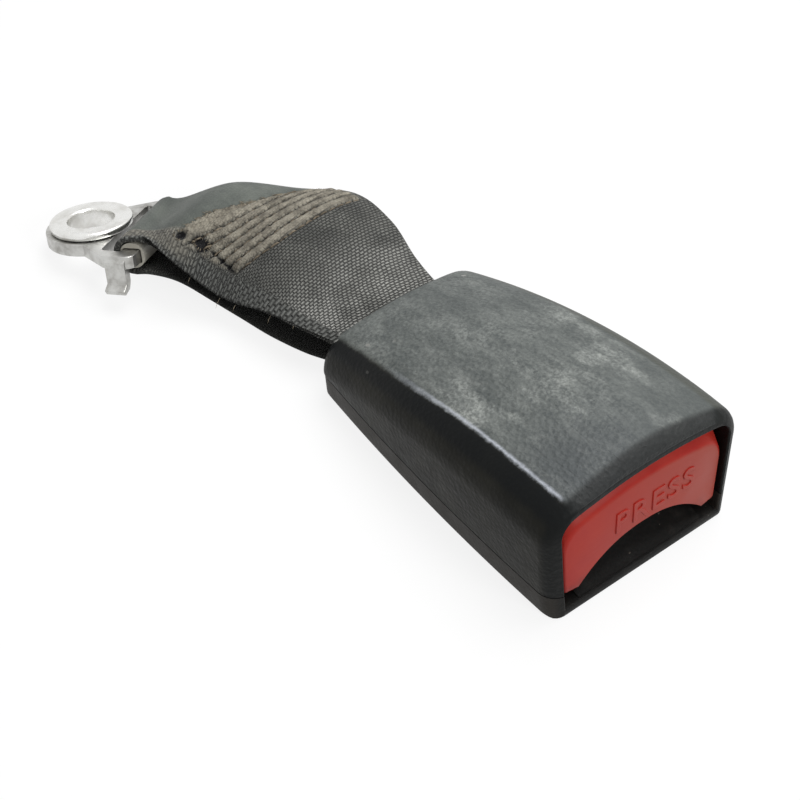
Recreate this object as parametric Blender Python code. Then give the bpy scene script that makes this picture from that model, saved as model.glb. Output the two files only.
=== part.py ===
"""Rear seat belt buckle on a short sewn webbing loop that ends in a steel anchor plate.

The casing lies on its flat underside. The origin is the middle of that underside, +X points out of
the mouth where the tongue goes in, and +Z is up. All sizes are in metres.
"""
import math

import bmesh
import bpy
import numpy as np
from mathutils import Matrix, Vector

# Clearances
GAP = 0.0003
SLIDE_GAP = 0.0005
SWING_GAP = 0.0008

# Casing
CASING_LENGTH = 0.0803
CASING_WIDTH_FRONT = 0.0490
CASING_WIDTH_REAR = 0.0428
CASING_SIDE_BULGE = 0.0014
CASING_HEIGHT_FRONT = 0.034
CASING_HEIGHT_REAR = 0.0164
CASING_TOP_BULGE = 0.0041
CROWN_FRONT = 0.0035
CROWN_REAR = 0.0014
SIDE_FLARE_FRONT = 0.0010
SIDE_FLARE_REAR = 0.0002
UNDERSIDE_TUCK = 0.0004
TOP_EDGE_RADIUS = 0.0093
TOP_EDGE_RADIUS_LEAST = 0.0015
UNDERSIDE_EDGE_RADIUS = 0.0012
FRONT_LEAN = 0.0019
FRONT_LEAN_REACH = 0.016
FRONT_CORNER_RADIUS = 0.0040
FRONT_TOP_RADIUS = 0.0034
REAR_CORNER_RADIUS = 0.0037
REAR_TOP_RADIUS = 0.004
END_FLOOR_RADIUS = 0.0009
SEAM_HEIGHT = 0.0065
SIDE_WALL = 0.0021
MOUTH_WALL = 0.0034
MOUTH_TOP_WALL = 0.0052
CROWN_EASE = 0.35
EASE_START = 0.75
EASE_END = 0.6
MOUTH_DEPTH = 0.0125
TOP_WALL = 0.0031
FLOOR_WALL = 0.002
STRAP_EXIT_HALF_WIDTH = 0.0171
STRAP_EXIT_TOP = 0.0118
STRAP_EXIT_DEPTH = 0.006
RIB_THICKNESS = 0.0015
FUNNEL_DEPTH = 0.0125
FUNNEL_LIP = 0.0006

# Steel frame
PLATE_THICKNESS = 0.0025
FRAME_FLOOR = 0.005
FRAME_FRONT_SETBACK = 0.0175
CHANNEL_INNER_WIDTH = 0.0254
CHANNEL_WALL = 0.0025
CHANNEL_TOP = 0.019
CHANNEL_REAR_TOP = 0.013
NECK_LENGTH = 0.00435
FRAME_REAR_SETBACK = 0.0042
FRAME_CORNER = 0.0015
REAR_BAR_DEPTH = 0.0045
REAR_BAR_SIDE = 0.003
BRIDGE_THICKNESS = 0.0012
BRIDGE_SETBACK = 0.002
FLANGE_DROP = 0.0105
REAR_FLANGE_LENGTH = 0.0056
FRONT_FLANGE_LENGTH = 0.011
RIVET_RADIUS = 0.0013
RIVET_HEAD_RADIUS = 0.0022
RIVET_HEAD_HEIGHT = 0.0006
RIVET_HEIGHT = 0.0115
FRONT_RIVET_SETBACK = 0.004
REAR_RIVET_OFFSET = 0.00335

# Latch, lock bar, ejector and springs; each share is a way back from the frame's front
PIVOT_SHARE = 0.62543
LOCK_BAR_SHARE = 0.38652
LATCH_NOSE_SHARE = 0.25
EJECTOR_SHARE = 0.35239
PIVOT_Z = 0.0128
PIVOT_RADIUS = 0.00125
LATCH_HALF_WIDTH = 0.0105
LATCH_NOSE_HALF_WIDTH = 0.005
LATCH_THICKNESS = 0.0016
LATCH_PLATE_DROP = 0.0015
LATCH_BARREL_WALL = 0.001
LATCH_NOSE_LENGTH = 0.002
LATCH_SHOULDER_SHARE = 0.857
LATCH_RISE_DEG = 9.0
LOCK_BAR_RADIUS = 0.0013
LOCK_BAR_Z = 0.0169
TRAVEL_BUTTON = 0.005
EJECTOR_LENGTH = 0.008
EJECTOR_HALF_WIDTH = 0.0055
EJECTOR_HEIGHT = 0.0032
TRAVEL_EJECTOR = 0.009
SPRING_STOP_SETBACK = 0.0032
SPRING_STOP_THICKNESS = 0.0015
BUTTON_SPRING_RADIUS = 0.0022
BUTTON_SPRING_WIRE = 0.0003
BUTTON_SPRING_TURNS = 7
EJECTOR_SPRING_RADIUS = 0.0014
EJECTOR_SPRING_WIRE = 0.00025
EJECTOR_SPRING_TURNS = 9

# Release button
BUTTON_RECESS = 0.001
BUTTON_DEPTH = 0.010
BUTTON_WALL = 0.0018
BUTTON_EDGE = 0.0009
BUTTON_LEG_FOOT = 0.0048
BUTTON_LEG_WIDTH = 0.0035
ARCH_TOP = 0.0123
ARCH_DROP = 0.0073
ARCH_POWER = 2.3
BUTTON_TOP_SLOPE = 0.0022
HOLLOW_SLOPE = 0.4
ARM_THICKNESS = 0.0014
ARM_HEIGHT = 0.0062
BUTTON_SPRING_Y = 0.0095

# Webbing
WEB_THICKNESS = 0.0013
WEB_WIDTH_AT_FRAME = 0.029
GUARD_WALL = 0.0008
LOWER_LAYER_NARROWING = 0.07
WEB_LEAD = 0.0038
WEB_ROWS = 28
# Columns: share of the way to the anchor bar, share of its sideways offset, turn and roll in degrees,
# half width, height of the top layer, its droop at the near and the far edge, height of the bottom layer
WEB_STATIONS = (
    (0.025, 0.05, 0, 0, 0.0148, 0.0100, 0.0005, 0.0005, 0.0032),
    (0.174, 0.10, 2, 0, 0.0166, 0.0124, 0.0025, 0.0015, 0.0020),
    (0.357, 0.115, 5, 0, 0.0192, 0.0154, 0.0060, 0.0027, 0.0014),
    (0.549, 0.16, 10, 1, 0.0204, 0.0168, 0.0102, 0.0044, 0.0012),
    (0.707, 0.35, 18, 4, 0.0186, 0.0166, 0.0092, 0.0052, 0.0022),
    (0.846, 0.645, 26, 10, 0.0148, 0.0184, 0.0074, 0.0030, 0.0036),
)

# Anchor plate
ANCHOR_REACH = 0.05725
ANCHOR_BAR_Y = -0.0261
ANCHOR_HEADING_DEG = 215.0
ANCHOR_SLOPE_DEG = 10.0
ANCHOR_ROLL_DEG = 15.0
ANCHOR_THICKNESS = 0.003
ANCHOR_BAR_DEPTH = 0.004
ANCHOR_BAR_LENGTH = 0.0245
ANCHOR_SLOT_DEPTH = 0.0052
ANCHOR_SLOT_RADIUS = 0.0008
ANCHOR_CORNER = 0.002
ANCHOR_RAIL = 0.003
ANCHOR_RING_RADIUS = 0.0108
ANCHOR_HOLE_RADIUS = 0.0068
ANCHOR_RING_OFFSET = 0.0155
SLEEVE_RADIUS = 0.0031
BUSH_BORE_RADIUS = 0.0055
BUSH_FLANGE_RADIUS = 0.0097
BUSH_FLANGE_HEIGHT = 0.0016
TAB_LENGTH = 0.0085
TAB_WIDTH = 0.005
TAB_THICKNESS = 0.0022
FLOOR_CLEARANCE = 0.0002

CASING_FRONT = CASING_LENGTH / 2
CASING_REAR = -CASING_LENGTH / 2
ANCHOR_BAR_X = CASING_REAR - ANCHOR_REACH
FRAME_FRONT = CASING_FRONT - FRAME_FRONT_SETBACK
FRAME_REAR = CASING_REAR + FRAME_REAR_SETBACK
FRAME_LENGTH = FRAME_FRONT - FRAME_REAR
WEB_HALF = WEB_THICKNESS / 2
WEB_WRAP_RADIUS = PLATE_THICKNESS / 2 + GAP + GUARD_WALL + GAP + WEB_HALF
WEB_SLOT_FRONT = FRAME_REAR + REAR_BAR_DEPTH + WEB_WRAP_RADIUS + WEB_HALF + GAP
CHANNEL_REAR = WEB_SLOT_FRONT + NECK_LENGTH
PIVOT_X = FRAME_FRONT - FRAME_LENGTH * PIVOT_SHARE
LOCK_BAR_X = FRAME_FRONT - FRAME_LENGTH * LOCK_BAR_SHARE
LATCH_NOSE_X = FRAME_FRONT - FRAME_LENGTH * LATCH_NOSE_SHARE
EJECTOR_FRONT = FRAME_FRONT - FRAME_LENGTH * EJECTOR_SHARE
RIVET_STATIONS = (PIVOT_X + REAR_RIVET_OFFSET, FRAME_FRONT - BRIDGE_SETBACK - FRONT_RIVET_SETBACK)
BRIDGE_FRONT = FRAME_FRONT - BRIDGE_SETBACK
BRIDGE_REAR = RIVET_STATIONS[0] - REAR_FLANGE_LENGTH / 2
BRIDGE_TOP = CHANNEL_TOP + GAP + BRIDGE_THICKNESS
CHANNEL_HALF = CHANNEL_INNER_WIDTH / 2
CHANNEL_OUTER = CHANNEL_HALF + CHANNEL_WALL
FRAME_TOP = FRAME_FLOOR + PLATE_THICKNESS
FLANGE_OUTER = CHANNEL_OUTER + GAP + BRIDGE_THICKNESS
ARM_INNER = FLANGE_OUTER + GAP + RIVET_HEAD_HEIGHT + GAP
ARM_OUTER = ARM_INNER + ARM_THICKNESS
EJECTOR_REAR = EJECTOR_FRONT - EJECTOR_LENGTH
SPRING_STOP_X = WEB_SLOT_FRONT + SPRING_STOP_SETBACK
LOCK_SLOT_REAR = LOCK_BAR_X - TRAVEL_BUTTON - LOCK_BAR_RADIUS - GAP
LOCK_SLOT_FRONT = LOCK_BAR_X + LOCK_BAR_RADIUS + GAP * 2


def clear_scene():
    """Remove whatever the file holds."""
    for item in list(bpy.data.objects):
        bpy.data.objects.remove(item, do_unlink=True)


def make_material(name, colour, roughness, metallic=0.0):
    """A Principled material with the piece's own colour and finish."""
    material = bpy.data.materials.new(name)
    material.use_nodes = True
    shader = material.node_tree.nodes["Principled BSDF"]
    shader.inputs["Base Color"].default_value = (*colour, 1.0)
    shader.inputs["Roughness"].default_value = roughness
    shader.inputs["Metallic"].default_value = metallic
    material.diffuse_color = (*colour, 1.0)
    return material


def add_object(name, bm, material=None, location=(0, 0, 0)):
    """Put a bmesh in the scene as one named object."""
    bmesh.ops.recalc_face_normals(bm, faces=bm.faces[:])
    mesh = bpy.data.meshes.new(name)
    bm.to_mesh(mesh)
    bm.free()
    item = bpy.data.objects.new(name, mesh)
    item.location = location
    bpy.context.collection.objects.link(item)
    if material is not None:
        mesh.materials.append(material)
    return item


def smooth(item, angle=35):
    """Shade round stretches smooth and keep edges sharper than the angle."""
    item.data.shade_smooth()
    item.data.set_sharp_from_angle(angle=math.radians(angle))


def hide_cutter(item):
    """A cutter isn't part of the object."""
    item.hide_render = True
    item.display_type = "WIRE"


def combine(item, tool, operation):
    """Join, cut or intersect with a tool that stays hidden."""
    hide_cutter(tool)
    modifier = item.modifiers.new(tool.name, "BOOLEAN")
    modifier.operation = operation
    modifier.solver = "EXACT"
    modifier.object = tool


def arc(centre, radius, start_deg, end_deg, steps):
    """Points of an arc, both ends included."""
    points = []
    for index in range(steps + 1):
        angle = math.radians(start_deg + (end_deg - start_deg) * index / steps)
        points.append((centre[0] + radius * math.cos(angle), centre[1] + radius * math.sin(angle)))
    return points


def box_bm(low, high):
    """A closed box between two corners."""
    bm = bmesh.new()
    size = Vector(high) - Vector(low)
    middle = (Vector(high) + Vector(low)) / 2
    matrix = Matrix.Translation(middle) @ Matrix.Diagonal((*size, 1.0))
    bmesh.ops.create_cube(bm, size=1.0, matrix=matrix)
    return bm


def cylinder_bm(radius, start, end, segments=24):
    """A closed cylinder between two points."""
    start = Vector(start)
    end = Vector(end)
    along = end - start
    matrix = Matrix.Translation((start + end) / 2) @ along.to_track_quat("Z", "Y").to_matrix().to_4x4()
    bm = bmesh.new()
    bmesh.ops.create_cone(bm, cap_ends=True, segments=segments, radius1=radius, radius2=radius,
                          depth=along.length, matrix=matrix)
    return bm


def prism_bm(outline, low, high, axis="Z"):
    """An outline in a plane, extruded along the axis that stands on that plane."""
    places = {"Z": lambda a, b, c: (a, b, c), "Y": lambda a, b, c: (a, c, b), "X": lambda a, b, c: (c, a, b)}
    place = places[axis]
    bm = bmesh.new()
    bottom = [bm.verts.new(place(a, b, low)) for a, b in outline]
    top = [bm.verts.new(place(a, b, high)) for a, b in outline]
    count = len(outline)
    for index in range(count):
        following = (index + 1) % count
        bm.faces.new((bottom[index], bottom[following], top[following], top[index]))
    bm.faces.new(bottom)
    bm.faces.new(top)
    return bm


def loft_bm(rings, closed=False):
    """Skin a row of equal rings; the ends are filled unless the row closes on itself."""
    bm = bmesh.new()
    rows = [[bm.verts.new(point) for point in ring] for ring in rings]
    count = len(rows[0])
    pairs = list(zip(rows, rows[1:]))
    if closed:
        pairs.append((rows[-1], rows[0]))
    for row, following in pairs:
        for index in range(count):
            neighbour = (index + 1) % count
            bm.faces.new((row[index], row[neighbour], following[neighbour], following[index]))
    if not closed:
        bm.faces.new(rows[0])
        bm.faces.new(rows[-1])
    return bm


def rounded_rectangle(low_a, high_a, low_b, high_b, radius, steps=4):
    """Outline of a rectangle with round corners."""
    points = arc((high_a - radius, low_b + radius), radius, -90, 0, steps)
    points += arc((high_a - radius, high_b - radius), radius, 0, 90, steps)
    points += arc((low_a + radius, high_b - radius), radius, 90, 180, steps)
    points += arc((low_a + radius, low_b + radius), radius, 180, 270, steps)
    return points


def casing_share(x):
    """0 at the mouth of the casing and 1 at its rear."""
    return (CASING_FRONT - x) / CASING_LENGTH


def casing_half_width(x):
    """Half the casing's width at the seam."""
    share = casing_share(x)
    straight = CASING_WIDTH_FRONT + (CASING_WIDTH_REAR - CASING_WIDTH_FRONT) * share
    return straight / 2 + 4 * CASING_SIDE_BULGE * share * (1 - share)


def top_crown(x):
    """How far the top falls from its middle line to its edges."""
    return CROWN_FRONT + (CROWN_REAR - CROWN_FRONT) * casing_share(x)


def button_crown():
    """How far the button's top falls to its edges: as much as the hood over it."""
    return CROWN_FRONT - CROWN_EASE * MOUTH_TOP_WALL


def side_flare(x):
    """How far the sides lean out between the seam and the rounded top edge."""
    return SIDE_FLARE_FRONT + (SIDE_FLARE_REAR - SIDE_FLARE_FRONT) * casing_share(x)


def casing_height(x):
    """Height of the casing's top along its middle line."""
    share = casing_share(x)
    straight = CASING_HEIGHT_FRONT + (CASING_HEIGHT_REAR - CASING_HEIGHT_FRONT) * share
    return straight + 4 * CASING_TOP_BULGE * share * (1 - share)


def ease(start, end, slopes, count):
    """Points between two places, leaving the first and reaching the second along the given slopes."""
    gap = slopes[0] - slopes[1]
    middle_y = (end[1] - start[1] + slopes[0] * start[0] - slopes[1] * end[0]) / gap
    middle_y = min(max(middle_y, end[0]), start[0])
    middle_z = start[1] + slopes[0] * (middle_y - start[0])
    points = []
    for index in range(count):
        share = (index + 1) / (count + 1)
        rest = 1 - share
        y = rest ** 2 * start[0] + 2 * rest * share * middle_y + share ** 2 * end[0]
        z = rest ** 2 * start[1] + 2 * rest * share * middle_z + share ** 2 * end[1]
        points.append((y, z))
    return points


def casing_section(x, side=0.0, top=0.0, floor=0.0):
    """One section of the casing as (y, z) points, drawn in by the given wall thicknesses."""
    half = casing_half_width(x) - side
    height = casing_height(x) - top
    crown = top_crown(x) - CROWN_EASE * top
    flare = side_flare(x)
    room = height - crown - SEAM_HEIGHT - SLIDE_GAP
    top_radius = min(max(TOP_EDGE_RADIUS - max(side, top), TOP_EDGE_RADIUS_LEAST), room)
    floor_radius = max(UNDERSIDE_EDGE_RADIUS - max(side, floor), GAP)
    right = [(0.0, floor)]
    right += arc((half - UNDERSIDE_TUCK - floor_radius, floor + floor_radius), floor_radius, -90, 0, 4)
    right.append((half, SEAM_HEIGHT))
    edge_y = half + flare - top_radius
    turn = math.radians(90 * EASE_START)
    right += arc((edge_y, height - crown - top_radius), top_radius, 0, 90 * EASE_START, 5)
    end = (edge_y * EASE_END, height - crown * EASE_END ** 2)
    right += ease(right[-1], end, (-1 / math.tan(turn), -2 * crown * EASE_END / edge_y), 2)
    for step in (EASE_END, EASE_END / 2):
        right.append((edge_y * step, height - crown * step ** 2))
    left = [(-y, z) for y, z in reversed(right[1:])]
    return right + [(0.0, height)] + left


def lean(x, z):
    """The mouth leans back towards its top, and the lean fades away behind it."""
    share = (x - (CASING_FRONT - FRONT_LEAN_REACH)) / FRONT_LEAN_REACH
    return x - FRONT_LEAN * max(share, 0.0) * z / CASING_HEIGHT_FRONT


def edge_inset(distance, radius):
    """How far a round edge draws in at a distance from its end."""
    if distance >= radius:
        return 0.0
    return radius - math.sqrt(radius ** 2 - (radius - distance) ** 2)


def skin_rings():
    """Sections of the outer skin from the mouth to the rear, with rounded ends."""
    rings = []
    for share in (0.0, 0.06, 0.2, 0.45, 0.75, 1.0):
        depth = FRONT_CORNER_RADIUS * share
        rings.append((CASING_FRONT - depth, edge_inset(depth, FRONT_CORNER_RADIUS),
                      edge_inset(depth, FRONT_TOP_RADIUS), edge_inset(depth, END_FLOOR_RADIUS)))
    start = CASING_FRONT - FRONT_CORNER_RADIUS
    end = CASING_REAR + REAR_CORNER_RADIUS
    for index in range(1, 9):
        rings.append((start + (end - start) * index / 9, 0.0, 0.0, 0.0))
    for share in (1.0, 0.75, 0.45, 0.2, 0.06, 0.0):
        depth = REAR_CORNER_RADIUS * share
        rings.append((CASING_REAR + depth, edge_inset(depth, REAR_CORNER_RADIUS),
                      edge_inset(depth, REAR_TOP_RADIUS), edge_inset(depth, END_FLOOR_RADIUS)))
    return [[(lean(x, z), y, z) for y, z in casing_section(x, side, top, floor)] for x, side, top, floor in rings]


def cavity_rings():
    """Sections of the hollow: a narrower throat that guides the button, then the full inside width."""
    throat_end = CASING_FRONT - MOUTH_DEPTH
    full_start = throat_end - (MOUTH_WALL - SIDE_WALL)
    rings = [(CASING_FRONT + FRONT_LEAN, MOUTH_WALL, MOUTH_TOP_WALL), (throat_end, MOUTH_WALL, MOUTH_TOP_WALL)]
    end = CASING_REAR + REAR_CORNER_RADIUS
    for index in range(8):
        rings.append((full_start + (end - full_start) * index / 7, SIDE_WALL, TOP_WALL))
    radius = REAR_CORNER_RADIUS - SIDE_WALL
    for angle in (40, 70, 90):
        inset = radius * (1 - math.cos(math.radians(angle)))
        rings.append((end - radius * math.sin(math.radians(angle)), SIDE_WALL + inset, TOP_WALL))
    return [[(x, y, z) for y, z in casing_section(x, side, top, FLOOR_WALL)] for x, side, top in rings]


def make_shell(name, low, high, material):
    """The casing between two heights, hollow, open at the mouth and at the strap exit."""
    shell = add_object(name, loft_bm(skin_rings()), material)
    cavity = add_object(name + "_cavity", loft_bm(cavity_rings()))
    combine(shell, cavity, "DIFFERENCE")
    exit_outline = rounded_rectangle(-STRAP_EXIT_HALF_WIDTH, STRAP_EXIT_HALF_WIDTH,
                                     FLOOR_WALL + GAP / 2, STRAP_EXIT_TOP, 0.002)
    exit_cut = prism_bm(exit_outline, CASING_REAR - GAP * 10, CASING_REAR + STRAP_EXIT_DEPTH, axis="X")
    combine(shell, add_object(name + "_strap_exit", exit_cut), "DIFFERENCE")
    reach = CASING_LENGTH
    part = add_object(name + "_half", box_bm((-reach, -reach, low), (reach, reach, high)))
    combine(shell, part, "INTERSECT")
    return shell


def make_upper_shell(material):
    """Deep cover with two ribs that hold the frame's bridge down."""
    shell = make_shell("upper_shell", SEAM_HEIGHT + GAP / 2, CASING_HEIGHT_FRONT * 2, material)
    for side, label in ((-1, "right"), (1, "left")):
        rib_y = side * (CHANNEL_HALF - RIB_THICKNESS)
        front = BRIDGE_FRONT - BRIDGE_THICKNESS * 4
        rear = BRIDGE_REAR + BRIDGE_THICKNESS
        outline = [(rear, BRIDGE_TOP + GAP), (front, BRIDGE_TOP + GAP)]
        outline.append((front, casing_height(front) - TOP_WALL / 2))
        outline.append((rear, casing_height(rear) - TOP_WALL / 2))
        rib = prism_bm(outline, rib_y - RIB_THICKNESS / 2, rib_y + RIB_THICKNESS / 2, axis="Y")
        combine(shell, add_object("upper_rib_" + label, rib), "UNION")
    smooth(shell)
    return shell


def leg_inner(half):
    """Half the width between the button's two legs."""
    return half - BUTTON_LEG_WIDTH


def funnel_rings():
    """Sections of the sloping lip that leads the tongue into the slot and keeps clear of the button's arch."""
    front = CASING_FRONT - END_FLOOR_RADIUS * 2
    half = leg_inner(button_half_width())
    rise = FRAME_TOP - FLOOR_WALL - FUNNEL_LIP - GAP
    rings = []
    for step in range(7):
        share = step / 6
        surface = FLOOR_WALL + FUNNEL_LIP + rise * min(share * 1.2, 1.0) ** 1.5
        x = front - FUNNEL_DEPTH * share
        ring = [(x, SLIDE_GAP - half, FLOOR_WALL / 2)]
        for index in range(15):
            y = (half - SLIDE_GAP) * (-1 + 2 * index / 14)
            ring.append((x, y, min(surface, arch_height(y, half) - SWING_GAP)))
        ring.append((x, half - SLIDE_GAP, FLOOR_WALL / 2))
        rings.append(ring)
    return rings


def make_lower_shell(material):
    """Shallow tray with the funnel lip and the rails that carry the frame."""
    shell = make_shell("lower_shell", -CASING_LENGTH, SEAM_HEIGHT - GAP / 2, material)
    lip = add_object("funnel_lip", loft_bm(funnel_rings()))
    combine(shell, lip, "UNION")
    for side, label in ((-1, "right"), (1, "left")):
        rail_y = side * CHANNEL_HALF
        low = (CHANNEL_REAR, rail_y - RIB_THICKNESS, FLOOR_WALL / 2)
        high = (FRAME_FRONT - RIB_THICKNESS, rail_y + RIB_THICKNESS, FRAME_FLOOR - GAP)
        combine(shell, add_object("frame_rail_" + label, box_bm(low, high)), "UNION")
    smooth(shell)
    return shell


def button_half_width():
    """Half the width of the button, a slide clear of the mouth's walls."""
    return casing_half_width(CASING_FRONT) - MOUTH_WALL - SLIDE_GAP


def arch_height(y, half):
    """Lower edge of the button face, high in the middle and falling to the legs."""
    return ARCH_TOP - ARCH_DROP * min(abs(y) / half, 1.0) ** ARCH_POWER


def button_top(inset, top_drop=0.0):
    """Height of the button's middle line, clear of the casing's roof when pressed."""
    roof = casing_height(CASING_FRONT - BUTTON_DEPTH - TRAVEL_BUTTON) - MOUTH_TOP_WALL
    return roof - SLIDE_GAP - inset - top_drop


def button_spring_height():
    """Height of the button springs' middle, close under the top of the button's hollow."""
    hollow_top = button_top(BUTTON_WALL, BUTTON_TOP_SLOPE * HOLLOW_SLOPE) - CROWN_FRONT
    return hollow_top - GAP - BUTTON_SPRING_RADIUS


def button_outline(inset, top_drop=0.0):
    """Face of the button as (y, z) points, with its arched lower edge."""
    half = button_half_width() - inset
    top = button_top(inset, top_drop)
    radius = TOP_EDGE_RADIUS - MOUTH_WALL
    points = [(half + SIDE_FLARE_FRONT * 0.2, BUTTON_LEG_FOOT + inset)]
    edge_y = half + SIDE_FLARE_FRONT * 0.8 - radius
    points += arc((edge_y, top - button_crown() - radius), radius, 0, 90, 5)
    for step in (0.6, 0.3, 0.0, -0.3, -0.6):
        points.append((edge_y * step, top - button_crown() * step ** 2))
    points += arc((-edge_y, top - button_crown() - radius), radius, 90, 180, 5)
    points.append((-half - SIDE_FLARE_FRONT * 0.2, BUTTON_LEG_FOOT + inset))
    inner = leg_inner(half)
    steps = 14
    for index in range(steps + 1):
        y = -inner + 2 * inner * index / steps
        points.append((y, arch_height(y, inner) + inset))
    return points


def make_button(material):
    """Hollow press button with an arm down each side that carries the lock bar."""
    face = CASING_FRONT - BUTTON_RECESS
    back = face - BUTTON_DEPTH
    full = button_outline(0.0)
    drawn = button_outline(BUTTON_EDGE, top_drop=BUTTON_TOP_SLOPE)
    rings = []
    rings.append([(lean(face, z), y, z) for y, z in drawn])
    shoulder = button_outline(BUTTON_EDGE * 0.3, top_drop=BUTTON_TOP_SLOPE * 0.4)
    rings.append([(lean(face, z) - BUTTON_EDGE, y, z) for y, z in shoulder])
    rings.append([(lean(face, z) - BUTTON_EDGE * 3, y, z) for y, z in full])
    rings.append([(back, y, z) for y, z in full])
    button = add_object("release_button", loft_bm(rings), material)
    hollow = [[(x, y, z) for y, z in button_outline(BUTTON_WALL, top_drop=BUTTON_TOP_SLOPE * HOLLOW_SLOPE)]
              for x in (face - BUTTON_WALL * 1.6, back - BUTTON_WALL)]
    combine(button, add_object("button_hollow", loft_bm(hollow)), "DIFFERENCE")
    arm_rear = LOCK_BAR_X - LOCK_BAR_RADIUS * 2.4
    for side, label in ((-1, "right"), (1, "left")):
        near = side * ARM_INNER
        far = side * ARM_OUTER
        low = (arm_rear, min(near, far), LOCK_BAR_Z - ARM_HEIGHT / 2)
        high = (face - BUTTON_WALL, max(near, far), LOCK_BAR_Z + ARM_HEIGHT / 2)
        combine(button, add_object("button_arm_" + label, box_bm(low, high)), "UNION")
    reach = ARM_OUTER * 2
    hole = cylinder_bm(LOCK_BAR_RADIUS + GAP, (LOCK_BAR_X, -reach, LOCK_BAR_Z), (LOCK_BAR_X, reach, LOCK_BAR_Z))
    combine(button, add_object("button_bar_hole", hole), "DIFFERENCE")
    smooth(button)
    return button


def frame_plan():
    """Plan of the frame's base plate: narrow at the channel and wide round the webbing bar."""
    bar_half = WEB_WIDTH_AT_FRAME / 2 + SWING_GAP + REAR_BAR_SIDE
    front = FRAME_FRONT
    neck = CHANNEL_REAR - FRAME_CORNER
    corner = FRAME_REAR + FRAME_CORNER
    points = [(front, -CHANNEL_OUTER), (front, CHANNEL_OUTER), (CHANNEL_REAR, CHANNEL_OUTER)]
    points += [(neck, bar_half)]
    points += arc((corner, bar_half - FRAME_CORNER), FRAME_CORNER, 90, 180, 3)
    points += arc((corner, FRAME_CORNER - bar_half), FRAME_CORNER, 180, 270, 3)
    points += [(neck, -bar_half), (CHANNEL_REAR, -CHANNEL_OUTER)]
    return points


def make_frame(material):
    """Stamped steel channel with the webbing slot, the lock slots and the spring stop."""
    frame = add_object("frame_channel", prism_bm(frame_plan(), FRAME_FLOOR, FRAME_TOP), material)
    profile = [(CHANNEL_REAR, FRAME_FLOOR), (FRAME_FRONT, FRAME_FLOOR), (FRAME_FRONT, CHANNEL_TOP),
               (BRIDGE_REAR, CHANNEL_TOP), (CHANNEL_REAR, CHANNEL_REAR_TOP)]
    for side, label in ((-1, "right"), (1, "left")):
        wall = prism_bm(profile, side * CHANNEL_HALF, side * CHANNEL_OUTER, axis="Y")
        combine(frame, add_object("channel_wall_" + label, wall), "UNION")
    stop_half = EJECTOR_HALF_WIDTH * 0.8
    low = (SPRING_STOP_X - SPRING_STOP_THICKNESS, -stop_half, FRAME_FLOOR)
    high = (SPRING_STOP_X, stop_half, FRAME_TOP + EJECTOR_HEIGHT + GAP)
    combine(frame, add_object("ejector_spring_stop", box_bm(low, high)), "UNION")
    slot_half = WEB_WIDTH_AT_FRAME / 2 + SWING_GAP
    bar_front = FRAME_REAR + REAR_BAR_DEPTH
    slot = rounded_rectangle(bar_front, WEB_SLOT_FRONT, -slot_half, slot_half, 0.001, 3)
    combine(frame, add_object("webbing_slot", prism_bm(slot, 0, CHANNEL_TOP)), "DIFFERENCE")
    window_half = LATCH_NOSE_HALF_WIDTH + SLIDE_GAP
    window = rounded_rectangle(LATCH_NOSE_X - LATCH_NOSE_LENGTH * 2, LATCH_NOSE_X + LATCH_NOSE_LENGTH,
                               -window_half, window_half, SWING_GAP, 2)
    combine(frame, add_object("latch_window", prism_bm(window, 0, FRAME_TOP + GAP)), "DIFFERENCE")
    lock_slot = rounded_rectangle(LOCK_SLOT_REAR, LOCK_SLOT_FRONT, LOCK_BAR_Z - LOCK_BAR_RADIUS - GAP,
                                  LOCK_BAR_Z + LOCK_BAR_RADIUS + GAP, LOCK_BAR_RADIUS, 4)
    cut = prism_bm(lock_slot, -CHANNEL_OUTER * 2, CHANNEL_OUTER * 2, axis="Y")
    combine(frame, add_object("lock_slots", cut), "DIFFERENCE")
    reach = CHANNEL_OUTER * 2
    pivot = cylinder_bm(PIVOT_RADIUS + GAP, (PIVOT_X, -reach, PIVOT_Z), (PIVOT_X, reach, PIVOT_Z))
    combine(frame, add_object("pivot_holes", pivot), "DIFFERENCE")
    for index, x in enumerate(RIVET_STATIONS):
        hole = cylinder_bm(RIVET_RADIUS + GAP, (x, -reach, RIVET_HEIGHT), (x, reach, RIVET_HEIGHT), 16)
        combine(frame, add_object("rivet_holes_%d" % index, hole), "DIFFERENCE")
    return frame


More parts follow.
